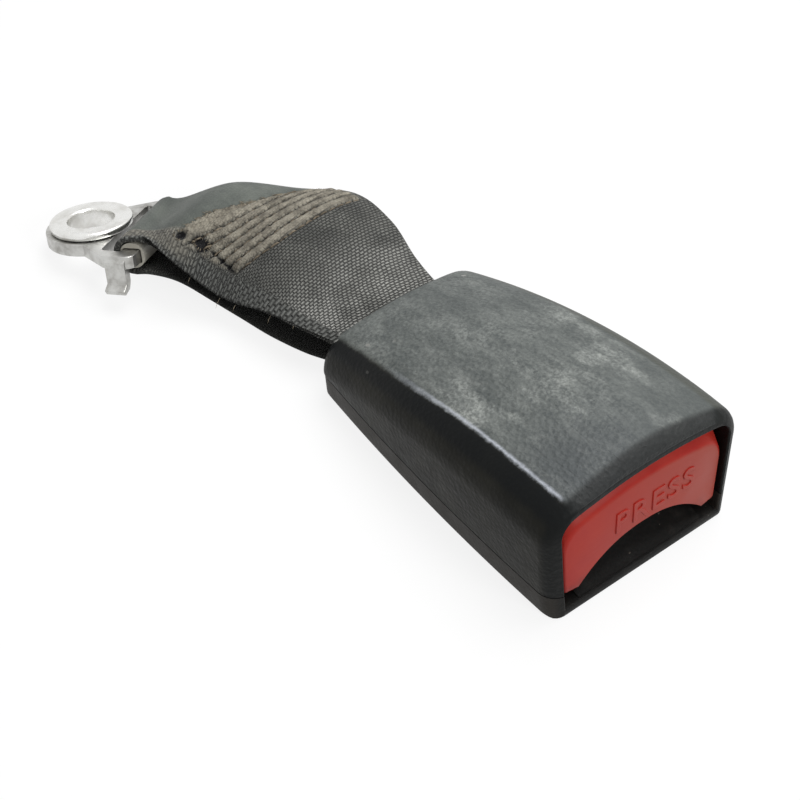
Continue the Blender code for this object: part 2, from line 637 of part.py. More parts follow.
def make_bridge(material):
    """Steel cover over the channel, with flanges for the rivets and seats for the button springs."""
    bottom = CHANNEL_TOP + GAP
    outer = FLANGE_OUTER
    bridge = add_object("frame_bridge", box_bm((BRIDGE_REAR, -outer, bottom), (BRIDGE_FRONT, outer, BRIDGE_TOP)),
                        material)
    spring_z = button_spring_height()
    flange_ends = ((BRIDGE_REAR, BRIDGE_REAR + REAR_FLANGE_LENGTH), (BRIDGE_FRONT - FRONT_FLANGE_LENGTH, BRIDGE_FRONT))
    for side, label in ((-1, "right"), (1, "left")):
        near = side * (outer - BRIDGE_THICKNESS)
        far = side * outer
        for index, (rear, front) in enumerate(flange_ends):
            low = (rear, min(near, far), bottom - FLANGE_DROP)
            high = (front, max(near, far), BRIDGE_TOP)
            name = "bridge_flange_%s_%d" % (label, index)
            combine(bridge, add_object(name, box_bm(low, high)), "UNION")
        seat_y = side * BUTTON_SPRING_Y
        low = (BRIDGE_FRONT - BRIDGE_THICKNESS, seat_y - BUTTON_SPRING_RADIUS, spring_z - BUTTON_SPRING_RADIUS)
        high = (BRIDGE_FRONT, seat_y + BUTTON_SPRING_RADIUS, BRIDGE_TOP + BUTTON_SPRING_RADIUS / 2)
        combine(bridge, add_object("spring_seat_" + label, box_bm(low, high)), "UNION")
    reach = outer * 2
    for index, x in enumerate(RIVET_STATIONS):
        hole = cylinder_bm(RIVET_RADIUS + GAP, (x, -reach, RIVET_HEIGHT), (x, reach, RIVET_HEIGHT), 16)
        combine(bridge, add_object("bridge_rivet_holes_%d" % index, hole), "DIFFERENCE")
    return bridge


def revolved_bm(profile, origin, axis, segments=24):
    """Turn a closed (radius, height) profile round an axis through the origin."""
    along = Vector(axis).normalized()
    across = along.orthogonal().normalized()
    other = along.cross(across)
    rings = []
    for index in range(segments):
        angle = 2 * math.pi * index / segments
        out = across * math.cos(angle) + other * math.sin(angle)
        rings.append([Vector(origin) + out * radius + along * height for radius, height in profile])
    return loft_bm(rings, closed=True)


def stack_bm(steps, origin, axis, segments=20):
    """A solid of revolution from (height, radius) steps, with flat ends."""
    along = Vector(axis).normalized()
    across = along.orthogonal().normalized()
    other = along.cross(across)
    rings = []
    for height, radius in steps:
        ring = []
        for index in range(segments):
            angle = 2 * math.pi * index / segments
            out = across * math.cos(angle) + other * math.sin(angle)
            ring.append(Vector(origin) + out * radius + along * height)
        rings.append(ring)
    return loft_bm(rings)


def make_rivets(material):
    """Four rivets through the bridge's flanges and the channel's walls."""
    inner = CHANNEL_HALF - GAP
    outer = FLANGE_OUTER + GAP
    half_head = RIVET_HEAD_HEIGHT / 2
    steps = [(inner - RIVET_HEAD_HEIGHT, RIVET_HEAD_RADIUS * 0.8), (inner - half_head, RIVET_HEAD_RADIUS)]
    steps += [(inner, RIVET_HEAD_RADIUS), (inner, RIVET_RADIUS), (outer, RIVET_RADIUS), (outer, RIVET_HEAD_RADIUS)]
    steps += [(outer + half_head, RIVET_HEAD_RADIUS), (outer + RIVET_HEAD_HEIGHT, RIVET_HEAD_RADIUS * 0.6)]
    for side, label in ((-1, "right"), (1, "left")):
        for place, x in zip(("rear", "front"), RIVET_STATIONS):
            bm = stack_bm(steps, (x, 0, RIVET_HEIGHT), (0, side, 0), 14)
            smooth(add_object("frame_rivet_%s_%s" % (place, label), bm, material))


def make_latch(material):
    """Latch plate, drawn level as it sits in a tongue and then raised about its pivot."""
    rise = math.radians(LATCH_RISE_DEG)
    low = -LATCH_PLATE_DROP
    high = low + LATCH_THICKNESS
    nose_front = LATCH_NOSE_X - PIVOT_X
    nose_rear = nose_front - LATCH_NOSE_LENGTH
    nose_low = FRAME_TOP - GAP - PIVOT_Z
    step_top = LOCK_BAR_Z - LOCK_BAR_RADIUS - GAP - PIVOT_Z
    bar_reach = LOCK_BAR_X - PIVOT_X
    step_rear = (bar_reach + LOCK_BAR_RADIUS + GAP + step_top * math.sin(rise)) / math.cos(rise)
    outline = [(0.0, low), (nose_rear, low), (nose_rear + GAP, nose_low), (nose_front, nose_low),
               (nose_front, step_top), (step_rear, step_top), (step_rear, high), (0.0, high)]
    latch = add_object("latch_plate", prism_bm(outline, -LATCH_HALF_WIDTH, LATCH_HALF_WIDTH, axis="Y"), material)
    barrel = PIVOT_RADIUS + GAP + LATCH_BARREL_WALL
    reach = LATCH_HALF_WIDTH * 2
    roll = add_object("latch_barrel", cylinder_bm(barrel, (0, -LATCH_HALF_WIDTH, 0), (0, LATCH_HALF_WIDTH, 0), 20))
    middle = EJECTOR_HALF_WIDTH + SLIDE_GAP
    clear = add_object("latch_clearance", box_bm((-barrel * 2, -middle, -reach), (barrel, middle, reach)))
    shoulder = bar_reach * LATCH_SHOULDER_SHARE
    plan = [(-barrel * 2, -LATCH_HALF_WIDTH - GAP), (shoulder, -LATCH_HALF_WIDTH - GAP),
            (step_rear - GAP, -LATCH_NOSE_HALF_WIDTH), (nose_front + GAP, -LATCH_NOSE_HALF_WIDTH)]
    plan += [(x, -y) for x, y in reversed(plan)]
    outer = add_object("latch_plan", prism_bm(plan, -reach, reach))
    bore = add_object("latch_bore", cylinder_bm(PIVOT_RADIUS + GAP, (0, -reach, 0), (0, reach, 0), 20))
    tools = ((roll, "UNION"), (clear, "DIFFERENCE"), (outer, "INTERSECT"), (bore, "DIFFERENCE"))
    for tool, operation in tools:
        tool.parent = latch
        combine(latch, tool, operation)
    latch.location = (PIVOT_X, 0, PIVOT_Z)
    latch.rotation_euler = (0, -rise, 0)
    return latch


def make_pins(material):
    """Latch pivot pin in the channel's walls and lock bar in its slots."""
    pivot = cylinder_bm(PIVOT_RADIUS, (PIVOT_X, -CHANNEL_OUTER, PIVOT_Z), (PIVOT_X, CHANNEL_OUTER, PIVOT_Z), 20)
    smooth(add_object("latch_pivot_pin", pivot, material))
    bar = cylinder_bm(LOCK_BAR_RADIUS, (LOCK_BAR_X, -ARM_OUTER, LOCK_BAR_Z),
                      (LOCK_BAR_X, ARM_OUTER, LOCK_BAR_Z), 20)
    smooth(add_object("lock_bar", bar, material))


def make_ejector(material):
    """Sliding plastic block that throws the tongue out."""
    low_z = FRAME_TOP + GAP
    rear = EJECTOR_REAR
    outline = [(rear, low_z), (EJECTOR_FRONT, low_z), (EJECTOR_FRONT, low_z + EJECTOR_HEIGHT * 0.75),
               (EJECTOR_FRONT - EJECTOR_HEIGHT * 0.4, low_z + EJECTOR_HEIGHT), (rear, low_z + EJECTOR_HEIGHT)]
    bm = prism_bm(outline, -EJECTOR_HALF_WIDTH, EJECTOR_HALF_WIDTH, axis="Y")
    return add_object("ejector", bm, material)


def spring_bm(start, end, radius, wire, turns, sides=5, steps=10):
    """Compression spring as one closed tube round the line from start to end."""
    start = Vector(start)
    along = Vector(end) - start
    length = along.length
    along.normalize()
    across = along.orthogonal().normalized()
    other = along.cross(across)
    rings = []
    total = turns * steps
    run = length - 2 * wire
    for index in range(total + 1):
        angle = 2 * math.pi * index / steps
        out = across * math.cos(angle) + other * math.sin(angle)
        centre = start + out * (radius - wire) + along * (wire + run * index / total)
        ring = []
        for side in range(sides):
            turn = 2 * math.pi * side / sides
            ring.append(centre + out * wire * math.cos(turn) + along * wire * math.sin(turn))
        rings.append(ring)
    return loft_bm(rings)


def make_springs(material):
    """Two springs behind the button and one behind the ejector."""
    spring_z = button_spring_height()
    button_inside = CASING_FRONT - BUTTON_RECESS - BUTTON_WALL * 1.6
    for side, label in ((-1, "right"), (1, "left")):
        start = (BRIDGE_FRONT + GAP, side * BUTTON_SPRING_Y, spring_z)
        end = (button_inside - GAP, side * BUTTON_SPRING_Y, spring_z)
        bm = spring_bm(start, end, BUTTON_SPRING_RADIUS, BUTTON_SPRING_WIRE, BUTTON_SPRING_TURNS)
        smooth(add_object("button_spring_" + label, bm, material), 60)
    spring_z = FRAME_TOP + GAP + EJECTOR_HEIGHT / 2
    start = (SPRING_STOP_X + GAP, 0, spring_z)
    end = (EJECTOR_REAR - GAP, 0, spring_z)
    bm = spring_bm(start, end, EJECTOR_SPRING_RADIUS, EJECTOR_SPRING_WIRE, EJECTOR_SPRING_TURNS)
    smooth(add_object("ejector_spring", bm, material), 60)


def make_guard(material):
    """Plastic sleeve over the frame bar that keeps its edges off the webbing."""
    half = WEB_WIDTH_AT_FRAME / 2
    front = FRAME_REAR + REAR_BAR_DEPTH
    reach = GAP + GUARD_WALL
    outer = rounded_rectangle(FRAME_REAR - reach, front + reach, FRAME_FLOOR - reach, FRAME_TOP + reach, 0.0009, 3)
    inner = rounded_rectangle(FRAME_REAR - GAP, front + GAP, FRAME_FLOOR - GAP, FRAME_TOP + GAP, 0.0002, 1)
    guard = add_object("webbing_guard", prism_bm(outer, -half, half, axis="Y"), material)
    bore = add_object("guard_bore", prism_bm(inner, -half * 2, half * 2, axis="Y"))
    combine(guard, bore, "DIFFERENCE")
    smooth(guard)
    return guard


def interpolate(stations, count):
    """Smooth rows between the stations with a Catmull-Rom curve."""
    table = np.array(stations, dtype=float)
    rows = []
    last = len(table) - 1
    for index in range(count + 1):
        place = index / count * last
        low = min(int(place), last - 1)
        share = place - low
        before = table[max(low - 1, 0)]
        start = table[low]
        end = table[low + 1]
        after = table[min(low + 2, last)]
        row = 0.5 * (2 * start + (end - before) * share + (2 * before - 5 * start + 4 * end - after) * share ** 2
                     + (3 * start - before - 3 * end + after) * share ** 3)
        rows.append(row)
    return rows


def anchor_axes():
    """Directions of the anchor plate: towards its bolt hole, across it to the near side, and its normal."""
    turn = Matrix.Rotation(math.radians(ANCHOR_HEADING_DEG), 3, "Z")
    slope = Matrix.Rotation(math.radians(ANCHOR_SLOPE_DEG), 3, "Y")
    roll = Matrix.Rotation(math.radians(ANCHOR_ROLL_DEG), 3, "X")
    return turn @ slope @ roll


def anchor_bar_height():
    """Height of the anchor's bar with the low side of the bolt eye just on the floor."""
    axes = anchor_axes()
    level = axes[2][2]
    eye_drop = ANCHOR_RING_RADIUS * math.sqrt(1 - level ** 2)
    return FLOOR_CLEARANCE + ANCHOR_THICKNESS / 2 * level - ANCHOR_RING_OFFSET * axes[2][0] + eye_drop


def web_layers():
    """Stations of the strap from the frame bar to the anchor bar.

    Columns: x and y of the middle line, turn and roll of the width in degrees, half width, height of
    the top layer, its droop at the near and the far edge, height of the bottom layer, and how far the
    two layers shift apart along x and y.
    """
    bar_z = FRAME_FLOOR + PLATE_THICKNESS / 2
    top = bar_z + WEB_WRAP_RADIUS
    low = bar_z - WEB_WRAP_RADIUS
    frame_half = WEB_WIDTH_AT_FRAME / 2
    anchor_half = ANCHOR_BAR_LENGTH / 2 - SWING_GAP
    across = ANCHOR_HEADING_DEG - 180
    rows = [
        (FRAME_REAR + REAR_BAR_DEPTH, 0, 0, 0, frame_half, top, 0, 0, low),
        (FRAME_REAR, 0, 0, 0, frame_half, top, 0, 0, low),
    ]
    for share, drift, turn, roll, half, top, near, far, low in WEB_STATIONS:
        x = CASING_REAR - ANCHOR_REACH * share
        rows.append((x, ANCHOR_BAR_Y * drift, turn, roll, half, top, near, far, low))
    rows = [(*row, 0, 0) for row in rows]
    axes = anchor_axes()
    reach = axes.col[2] * (SLEEVE_RADIUS + GAP + WEB_HALF)
    for lead in (WEB_LEAD, 0.0):
        x, y, z = Vector((ANCHOR_BAR_X, ANCHOR_BAR_Y, anchor_bar_height())) - axes.col[0] * lead
        place = (x, y, across, ANCHOR_ROLL_DEG, anchor_half, z + reach.z, 0, 0, z - reach.z)
        rows.append((*place, reach.x, reach.y))
    return rows


def band_ring(middle, across, normal, half, droop_right, droop_left, columns=10):
    """One cross-section of the webbing, outer face first, with both edges drooping away."""
    shares = [-1 + 2 * index / columns for index in range(columns + 1)]
    face = []
    back = []
    for share in shares:
        droop = droop_right if share < 0 else droop_left
        fall = droop * abs(share) ** 2.6
        point = Vector(middle) + Vector(across) * half * share - Vector(normal) * fall
        face.append(point + Vector(normal) * WEB_HALF)
        back.append(point - Vector(normal) * WEB_HALF)
    return face + back[::-1]


def web_frame(turn, roll):
    """Across direction, towards the far side, and upward normal of a strap section."""
    turn = math.radians(turn)
    roll = math.radians(roll)
    level = Vector((-math.sin(turn), math.cos(turn), 0))
    up = Vector((0, 0, 1))
    return level * math.cos(roll) - up * math.sin(roll), up * math.cos(roll) + level * math.sin(roll)


def make_webbing(material):
    """The webbing as one endless band: out over the frame bar, round the anchor bar and back."""
    rows = interpolate(web_layers(), WEB_ROWS)
    rings = []
    for x, y, turn, roll, half, top, droop_near, droop_far, low, shift_x, shift_y in rows:
        across, up = web_frame(turn, roll)
        rings.append(band_ring((x + shift_x, y + shift_y, top), across, up, half, droop_near, droop_far))
    axes = anchor_axes()
    away = axes.col[0]
    across = -axes.col[1]
    up = axes.col[2]
    wrap = SLEEVE_RADIUS + GAP + WEB_HALF
    centre = Vector((ANCHOR_BAR_X, ANCHOR_BAR_Y, anchor_bar_height()))
    half = rows[-1][4]
    for step in range(1, 9):
        swing = math.pi * step / 9
        normal = up * math.cos(swing) + away * math.sin(swing)
        rings.append(band_ring(centre + normal * wrap, across, normal, half, 0, 0))
    for index in range(WEB_ROWS, -1, -1):
        x, y, turn, roll, half, top, droop_near, droop_far, low, shift_x, shift_y = rows[index]
        across, up = web_frame(turn, roll)
        narrow = half * (1 - LOWER_LAYER_NARROWING * math.sin(math.pi * index / WEB_ROWS))
        rings.append(band_ring((x - shift_x, y - shift_y, low), across, -up, narrow, 0, 0))
    centre = Vector((rows[0][0], 0, FRAME_FLOOR + PLATE_THICKNESS / 2))
    half = rows[0][4]
    up = Vector((0, 0, 1))
    for step in range(1, 8):
        swing = math.pi * step / 8
        normal = -up * math.cos(swing) + Vector((1, 0, 0)) * math.sin(swing)
        rings.append(band_ring(centre + normal * WEB_WRAP_RADIUS, (0, 1, 0), normal, half, 0, 0))
    webbing = add_object("webbing", loft_bm(rings, closed=True), material)
    smooth(webbing, 50)
    return webbing


def anchor_matrix():
    """Place of the anchor's own frame: origin on its bar, +X towards the bolt hole."""
    place = Matrix.Translation((ANCHOR_BAR_X, ANCHOR_BAR_Y, anchor_bar_height()))
    return place @ anchor_axes().to_4x4()


def anchor_plan():
    """Plan of the anchor plate: the bar end is wide, and shoulders run into the round bolt eye."""
    half = ANCHOR_BAR_LENGTH / 2 + ANCHOR_RAIL
    rear = -ANCHOR_BAR_DEPTH / 2
    shoulder = ANCHOR_BAR_DEPTH / 2 + ANCHOR_SLOT_DEPTH
    points = arc((rear + ANCHOR_CORNER, ANCHOR_CORNER - half), ANCHOR_CORNER, 180, 270, 3)
    points.append((shoulder * 0.8, -half))
    points += arc((ANCHOR_RING_OFFSET, 0), ANCHOR_RING_RADIUS, -105, 105, 20)
    points.append((shoulder * 0.8, half))
    points += arc((rear + ANCHOR_CORNER, half - ANCHOR_CORNER), ANCHOR_CORNER, 90, 180, 3)
    return points


def tab_outline(side):
    """Hooked tab seen along the plate: bent down from the side rail and out again at its foot."""
    high = ANCHOR_THICKNESS / 2 - GAP
    inner = side - TAB_THICKNESS * 0.75
    outer = inner + TAB_THICKNESS
    foot = high - TAB_LENGTH
    return [(inner, high), (outer - TAB_THICKNESS / 2, high), (outer, high - TAB_THICKNESS / 2),
            (outer, foot + TAB_THICKNESS), (outer + TAB_THICKNESS * 0.8, foot + TAB_THICKNESS * 0.5),
            (outer + TAB_THICKNESS * 0.5, foot), (outer - TAB_THICKNESS * 0.6, foot + TAB_THICKNESS * 0.3),
            (inner, foot + TAB_THICKNESS)]


def make_anchor(steel, bush_material, sleeve_material):
    """Anchor plate with its bolt hole and webbing slot, the bush in the hole and the bar's sleeve."""
    place = anchor_matrix()
    low = -ANCHOR_THICKNESS / 2
    high = ANCHOR_THICKNESS / 2
    anchor = add_object("anchor_plate", prism_bm(anchor_plan(), low, high), steel)
    bar_edge = ANCHOR_BAR_DEPTH / 2
    slot = rounded_rectangle(bar_edge, bar_edge + ANCHOR_SLOT_DEPTH, -ANCHOR_BAR_LENGTH / 2,
                             ANCHOR_BAR_LENGTH / 2, ANCHOR_SLOT_RADIUS, 3)
    cutters = [add_object("anchor_slot", prism_bm(slot, low * 2, high * 2))]
    hole = cylinder_bm(ANCHOR_HOLE_RADIUS, (ANCHOR_RING_OFFSET, 0, low * 2), (ANCHOR_RING_OFFSET, 0, high * 2), 32)
    cutters.append(add_object("anchor_bolt_hole", hole))
    for cutter in cutters:
        combine(anchor, cutter, "DIFFERENCE")
    side = ANCHOR_BAR_LENGTH / 2 + ANCHOR_RAIL
    tab = add_object("anchor_tab", prism_bm(tab_outline(side), 0.0, TAB_WIDTH, axis="X"))
    combine(anchor, tab, "UNION")
    flange_low = high + GAP
    bush = [(BUSH_BORE_RADIUS, low), (ANCHOR_HOLE_RADIUS - GAP, low), (ANCHOR_HOLE_RADIUS - GAP, flange_low),
            (BUSH_FLANGE_RADIUS, flange_low), (BUSH_FLANGE_RADIUS, flange_low + BUSH_FLANGE_HEIGHT * 0.7),
            (BUSH_FLANGE_RADIUS - BUSH_FLANGE_HEIGHT * 0.3, flange_low + BUSH_FLANGE_HEIGHT),
            (BUSH_BORE_RADIUS, flange_low + BUSH_FLANGE_HEIGHT)]
    ring = add_object("anchor_bush", revolved_bm(bush, (ANCHOR_RING_OFFSET, 0, 0), (0, 0, 1), 32), bush_material)
    smooth(ring)
    half = ANCHOR_BAR_LENGTH / 2 - ANCHOR_SLOT_RADIUS - GAP
    sleeve_bm = cylinder_bm(SLEEVE_RADIUS, (0, -half, 0), (0, half, 0), 24)
    sleeve = add_object("anchor_sleeve", sleeve_bm, sleeve_material)
    bar = rounded_rectangle(-bar_edge - GAP, bar_edge + GAP, low - GAP, high + GAP, 0.0004, 1)
    bore = add_object("sleeve_bore", prism_bm(bar, -half * 2, half * 2, axis="Y"))
    combine(sleeve, bore, "DIFFERENCE")
    smooth(sleeve)
    for item in (anchor, ring, sleeve, tab, bore, *cutters):
        item.matrix_world = place


def main():
    """Build every piece."""
    clear_scene()
    shell_black = make_material("shell_plastic", (0.035, 0.037, 0.038), 0.5)
    button_red = make_material("button_plastic", (0.42, 0.035, 0.022), 0.42)
    steel = make_material("zinc_plated_steel", (0.55, 0.54, 0.50), 0.35, 1.0)
    spring_steel = make_material("spring_steel", (0.42, 0.42, 0.44), 0.3, 1.0)
    inner_plastic = make_material("inner_plastic", (0.55, 0.55, 0.52), 0.5)
    web = make_material("webbing_polyester", (0.09, 0.088, 0.082), 0.9)
    make_upper_shell(shell_black)
    make_lower_shell(shell_black)
    make_button(button_red)
    make_frame(steel)
    make_bridge(steel)
    make_rivets(steel)
    make_latch(steel)
    make_pins(steel)
    make_ejector(inner_plastic)
    make_springs(spring_steel)
    make_guard(inner_plastic)
    make_webbing(web)
    make_anchor(steel, steel, inner_plastic)
    bpy.context.view_layer.update()


main()
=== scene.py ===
"""Looks of the seat belt buckle: moulded casing, red button, worn sewn webbing and steel anchor.

Everything is in metres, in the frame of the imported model: the origin is the middle of the casing's
underside, +X points out of the mouth and +Z is up.
"""
import math

import bmesh
import bpy
import numpy as np
from mathutils import Matrix, Vector, noise

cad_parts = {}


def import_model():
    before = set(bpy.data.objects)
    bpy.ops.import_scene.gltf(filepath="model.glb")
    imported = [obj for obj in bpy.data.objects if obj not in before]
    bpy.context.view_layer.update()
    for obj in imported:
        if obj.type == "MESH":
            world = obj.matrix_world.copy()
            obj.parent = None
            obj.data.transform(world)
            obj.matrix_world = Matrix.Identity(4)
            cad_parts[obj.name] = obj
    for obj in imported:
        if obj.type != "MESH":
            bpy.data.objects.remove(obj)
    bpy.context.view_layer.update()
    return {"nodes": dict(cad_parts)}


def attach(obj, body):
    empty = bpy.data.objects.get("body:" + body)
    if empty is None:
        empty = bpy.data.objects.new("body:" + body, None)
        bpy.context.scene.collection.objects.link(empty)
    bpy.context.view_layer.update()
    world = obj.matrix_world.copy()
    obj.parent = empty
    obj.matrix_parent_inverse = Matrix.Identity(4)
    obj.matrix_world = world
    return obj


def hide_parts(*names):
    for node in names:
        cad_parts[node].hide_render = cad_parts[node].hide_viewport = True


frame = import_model()

# Camera at the photograph's view
CAMERA_PLACE = (0.20910, -0.19463, 0.31530)
CAMERA_YAW_DEG = 141.8724
CAMERA_PITCH_DEG = 46.4700
CAMERA_ROLL_DEG = -0.3047
CAMERA_LENS_MM = 90.0
CAMERA_SENSOR_MM = 36.0

# Casing, as in the part
GAP = 0.0003
CASING_LENGTH = 0.0803
CASING_WIDTH_FRONT = 0.0490
CASING_WIDTH_REAR = 0.0428
CASING_SIDE_BULGE = 0.0014
CASING_HEIGHT_FRONT = 0.034
CASING_HEIGHT_REAR = 0.0164
CASING_TOP_BULGE = 0.0041
CROWN_FRONT = 0.0035
CROWN_REAR = 0.0014
SIDE_FLARE_FRONT = 0.0010
SIDE_FLARE_REAR = 0.0002
UNDERSIDE_TUCK = 0.0004
TOP_EDGE_RADIUS = 0.0093
TOP_EDGE_RADIUS_LEAST = 0.0015
UNDERSIDE_EDGE_RADIUS = 0.0012
FRONT_LEAN = 0.0019
FRONT_LEAN_REACH = 0.016
FRONT_CORNER_RADIUS = 0.0040
FRONT_TOP_RADIUS = 0.0034
REAR_CORNER_RADIUS = 0.0037
REAR_TOP_RADIUS = 0.004
END_FLOOR_RADIUS = 0.0009
SEAM_HEIGHT = 0.0065
SEAM_GROOVE = 0.00025
EASE_START = 0.75
EASE_END = 0.6
SIDE_WALL = 0.0021
MOUTH_WALL = 0.0034
MOUTH_TOP_WALL = 0.0052
CROWN_EASE = 0.35
MOUTH_DEPTH = 0.0125
TOP_WALL = 0.0031
FLOOR_WALL = 0.002
STRAP_EXIT_HALF_WIDTH = 0.0171
STRAP_EXIT_LOW = 0.00215
STRAP_EXIT_TOP = 0.0118
FUNNEL_DEPTH = 0.0125
FUNNEL_LIP = 0.0006
FRAME_TOP = 0.0075
CASING_FRONT = CASING_LENGTH / 2
CASING_REAR = -CASING_LENGTH / 2

# Button, as in the part
SLIDE_GAP = 0.0005
SWING_GAP = 0.0008
BUTTON_RECESS = 0.001
BUTTON_DEPTH = 0.010
BUTTON_WALL = 0.0018
BUTTON_EDGE = 0.0009
BUTTON_LEG_FOOT = 0.0048
BUTTON_LEG_WIDTH = 0.0035
ARCH_TOP = 0.0123
ARCH_DROP = 0.0073
ARCH_POWER = 2.3
BUTTON_TOP_SLOPE = 0.0022
TRAVEL_BUTTON = 0.005
ARM_THICKNESS = 0.0014
ARM_HEIGHT = 0.0062
ARM_INNER = 0.0179
LOCK_BAR_Z = 0.0169
LETTER_HEIGHT = 0.0056
LETTER_RELIEF = 0.00016
LETTER_BEVEL = 0.00012
LETTER_SPACING = 1.16
LETTER_BASE = 0.0142
LETTER_SHIFT = 0.0030
ARM_REAR = -0.0031
LEG_CORNER = 0.0006

# Strap, as in the part
WEB_THICKNESS = 0.0013
WEB_HALF = WEB_THICKNESS / 2
WEB_WIDTH_AT_FRAME = 0.029
GUARD_WALL = 0.0008
PLATE_THICKNESS = 0.0025
FRAME_FLOOR = 0.005
FRAME_REAR = CASING_REAR + 0.0042
REAR_BAR_DEPTH = 0.0045
LOWER_LAYER_NARROWING = 0.07
WEB_LEAD = 0.0038
# Columns: share of the way to the anchor bar, share of its sideways offset, turn and roll in degrees,
# half width, height of the top layer, its droop at the near and the far edge, height of the bottom layer
WEB_STATIONS = (
    (0.025, 0.05, 0, 0, 0.0148, 0.0100, 0.0005, 0.0005, 0.0032),
    (0.174, 0.10, 2, 0, 0.0166, 0.0124, 0.0025, 0.0015, 0.0020),
    (0.357, 0.115, 5, 0, 0.0192, 0.0154, 0.0060, 0.0027, 0.0014),
    (0.549, 0.16, 10, 1, 0.0204, 0.0168, 0.0102, 0.0044, 0.0012),
    (0.707, 0.35, 18, 4, 0.0186, 0.0166, 0.0092, 0.0052, 0.0022),
    (0.846, 0.645, 26, 10, 0.0148, 0.0184, 0.0074, 0.0030, 0.0036),
)

# Sewn end of the strap, as shares along and across its top layer
SEAM_ROWS = 6
SEAM_START = 0.535
SEAM_PITCH = 0.0265
SEAM_BEND = 0.12
SEAM_RIDGE = 0.00060
SEAM_GROOVE_DEPTH = 0.00055
CUT_START = 0.700
CUT_SLANT = 0.115
CUT_STEP = 0.00055
TORN_DEPTH = 0.0011
TORN_PLACES = ((0.776, -0.72), (0.714, -0.70))
TORN_SIZES = ((0.018, 0.060), (0.026, 0.075))
STITCH_LENGTH = 0.11
THREAD_RADIUS = 0.00022
FIBRE_RADIUS = 0.00007
FRAYED_ENDS = 230
TORN_ENDS = 40
STITCH_SEED = 11
FIBRE_SEED = 23
LOOSE_ENDS = ((0.60, 0.0030), (0.54, 0.0022), (0.42, 0.0026), (0.71, 0.0020), (0.35, 0.0016))
WEB_CURL = 0.22
WEB_CURL_RADIUS = 0.0017
WEB_LOW_ROWS = 90
WEB_WRAP_STEPS = 14
WEB_ALONG = np.concatenate([np.linspace(0, 0.5, 70, endpoint=False),
                            np.linspace(0.5, 0.82, 165, endpoint=False),
                            np.linspace(0.82, 1, 41)])
WEB_ACROSS = -1 + 2 * np.linspace(0, 1, 89) ** 1.25

# Anchor, as in the part
ANCHOR_BAR = Vector((-0.0974, -0.0261, 0.00765))
ANCHOR_HEADING_DEG = 215.0
ANCHOR_SLOPE_DEG = 10.0
ANCHOR_ROLL_DEG = 15.0
ANCHOR_THICKNESS = 0.003
ANCHOR_BAR_LENGTH = 0.0245
ANCHOR_HOLE_RADIUS = 0.0068
ANCHOR_RING_OFFSET = 0.0155
SLEEVE_RADIUS = 0.0031
BUSH_BORE_RADIUS = 0.0055
BUSH_FLANGE_RADIUS = 0.0097
BUSH_FLANGE_HEIGHT = 0.0016
BUSH_EDGE_RADIUS = 0.0006

# Studio
FLOOR_WHITENESS = 0.86
FLOOR_BOUNCE = 0.42
FLOOR_HALF_SIZE = 3.0
FLOOR_DROP = 0.00005
WORLD_LEVEL = 0.22
LAMP_TARGET = (0.0, 0.0, 0.01)
# Columns: name, place, size and power of a lamp
LAMPS = (
    ("overhead", (-0.05, 0.30, 0.85), 0.7, 7.0),
    ("front", (0.75, 0.10, 0.55), 0.35, 3.2),
)


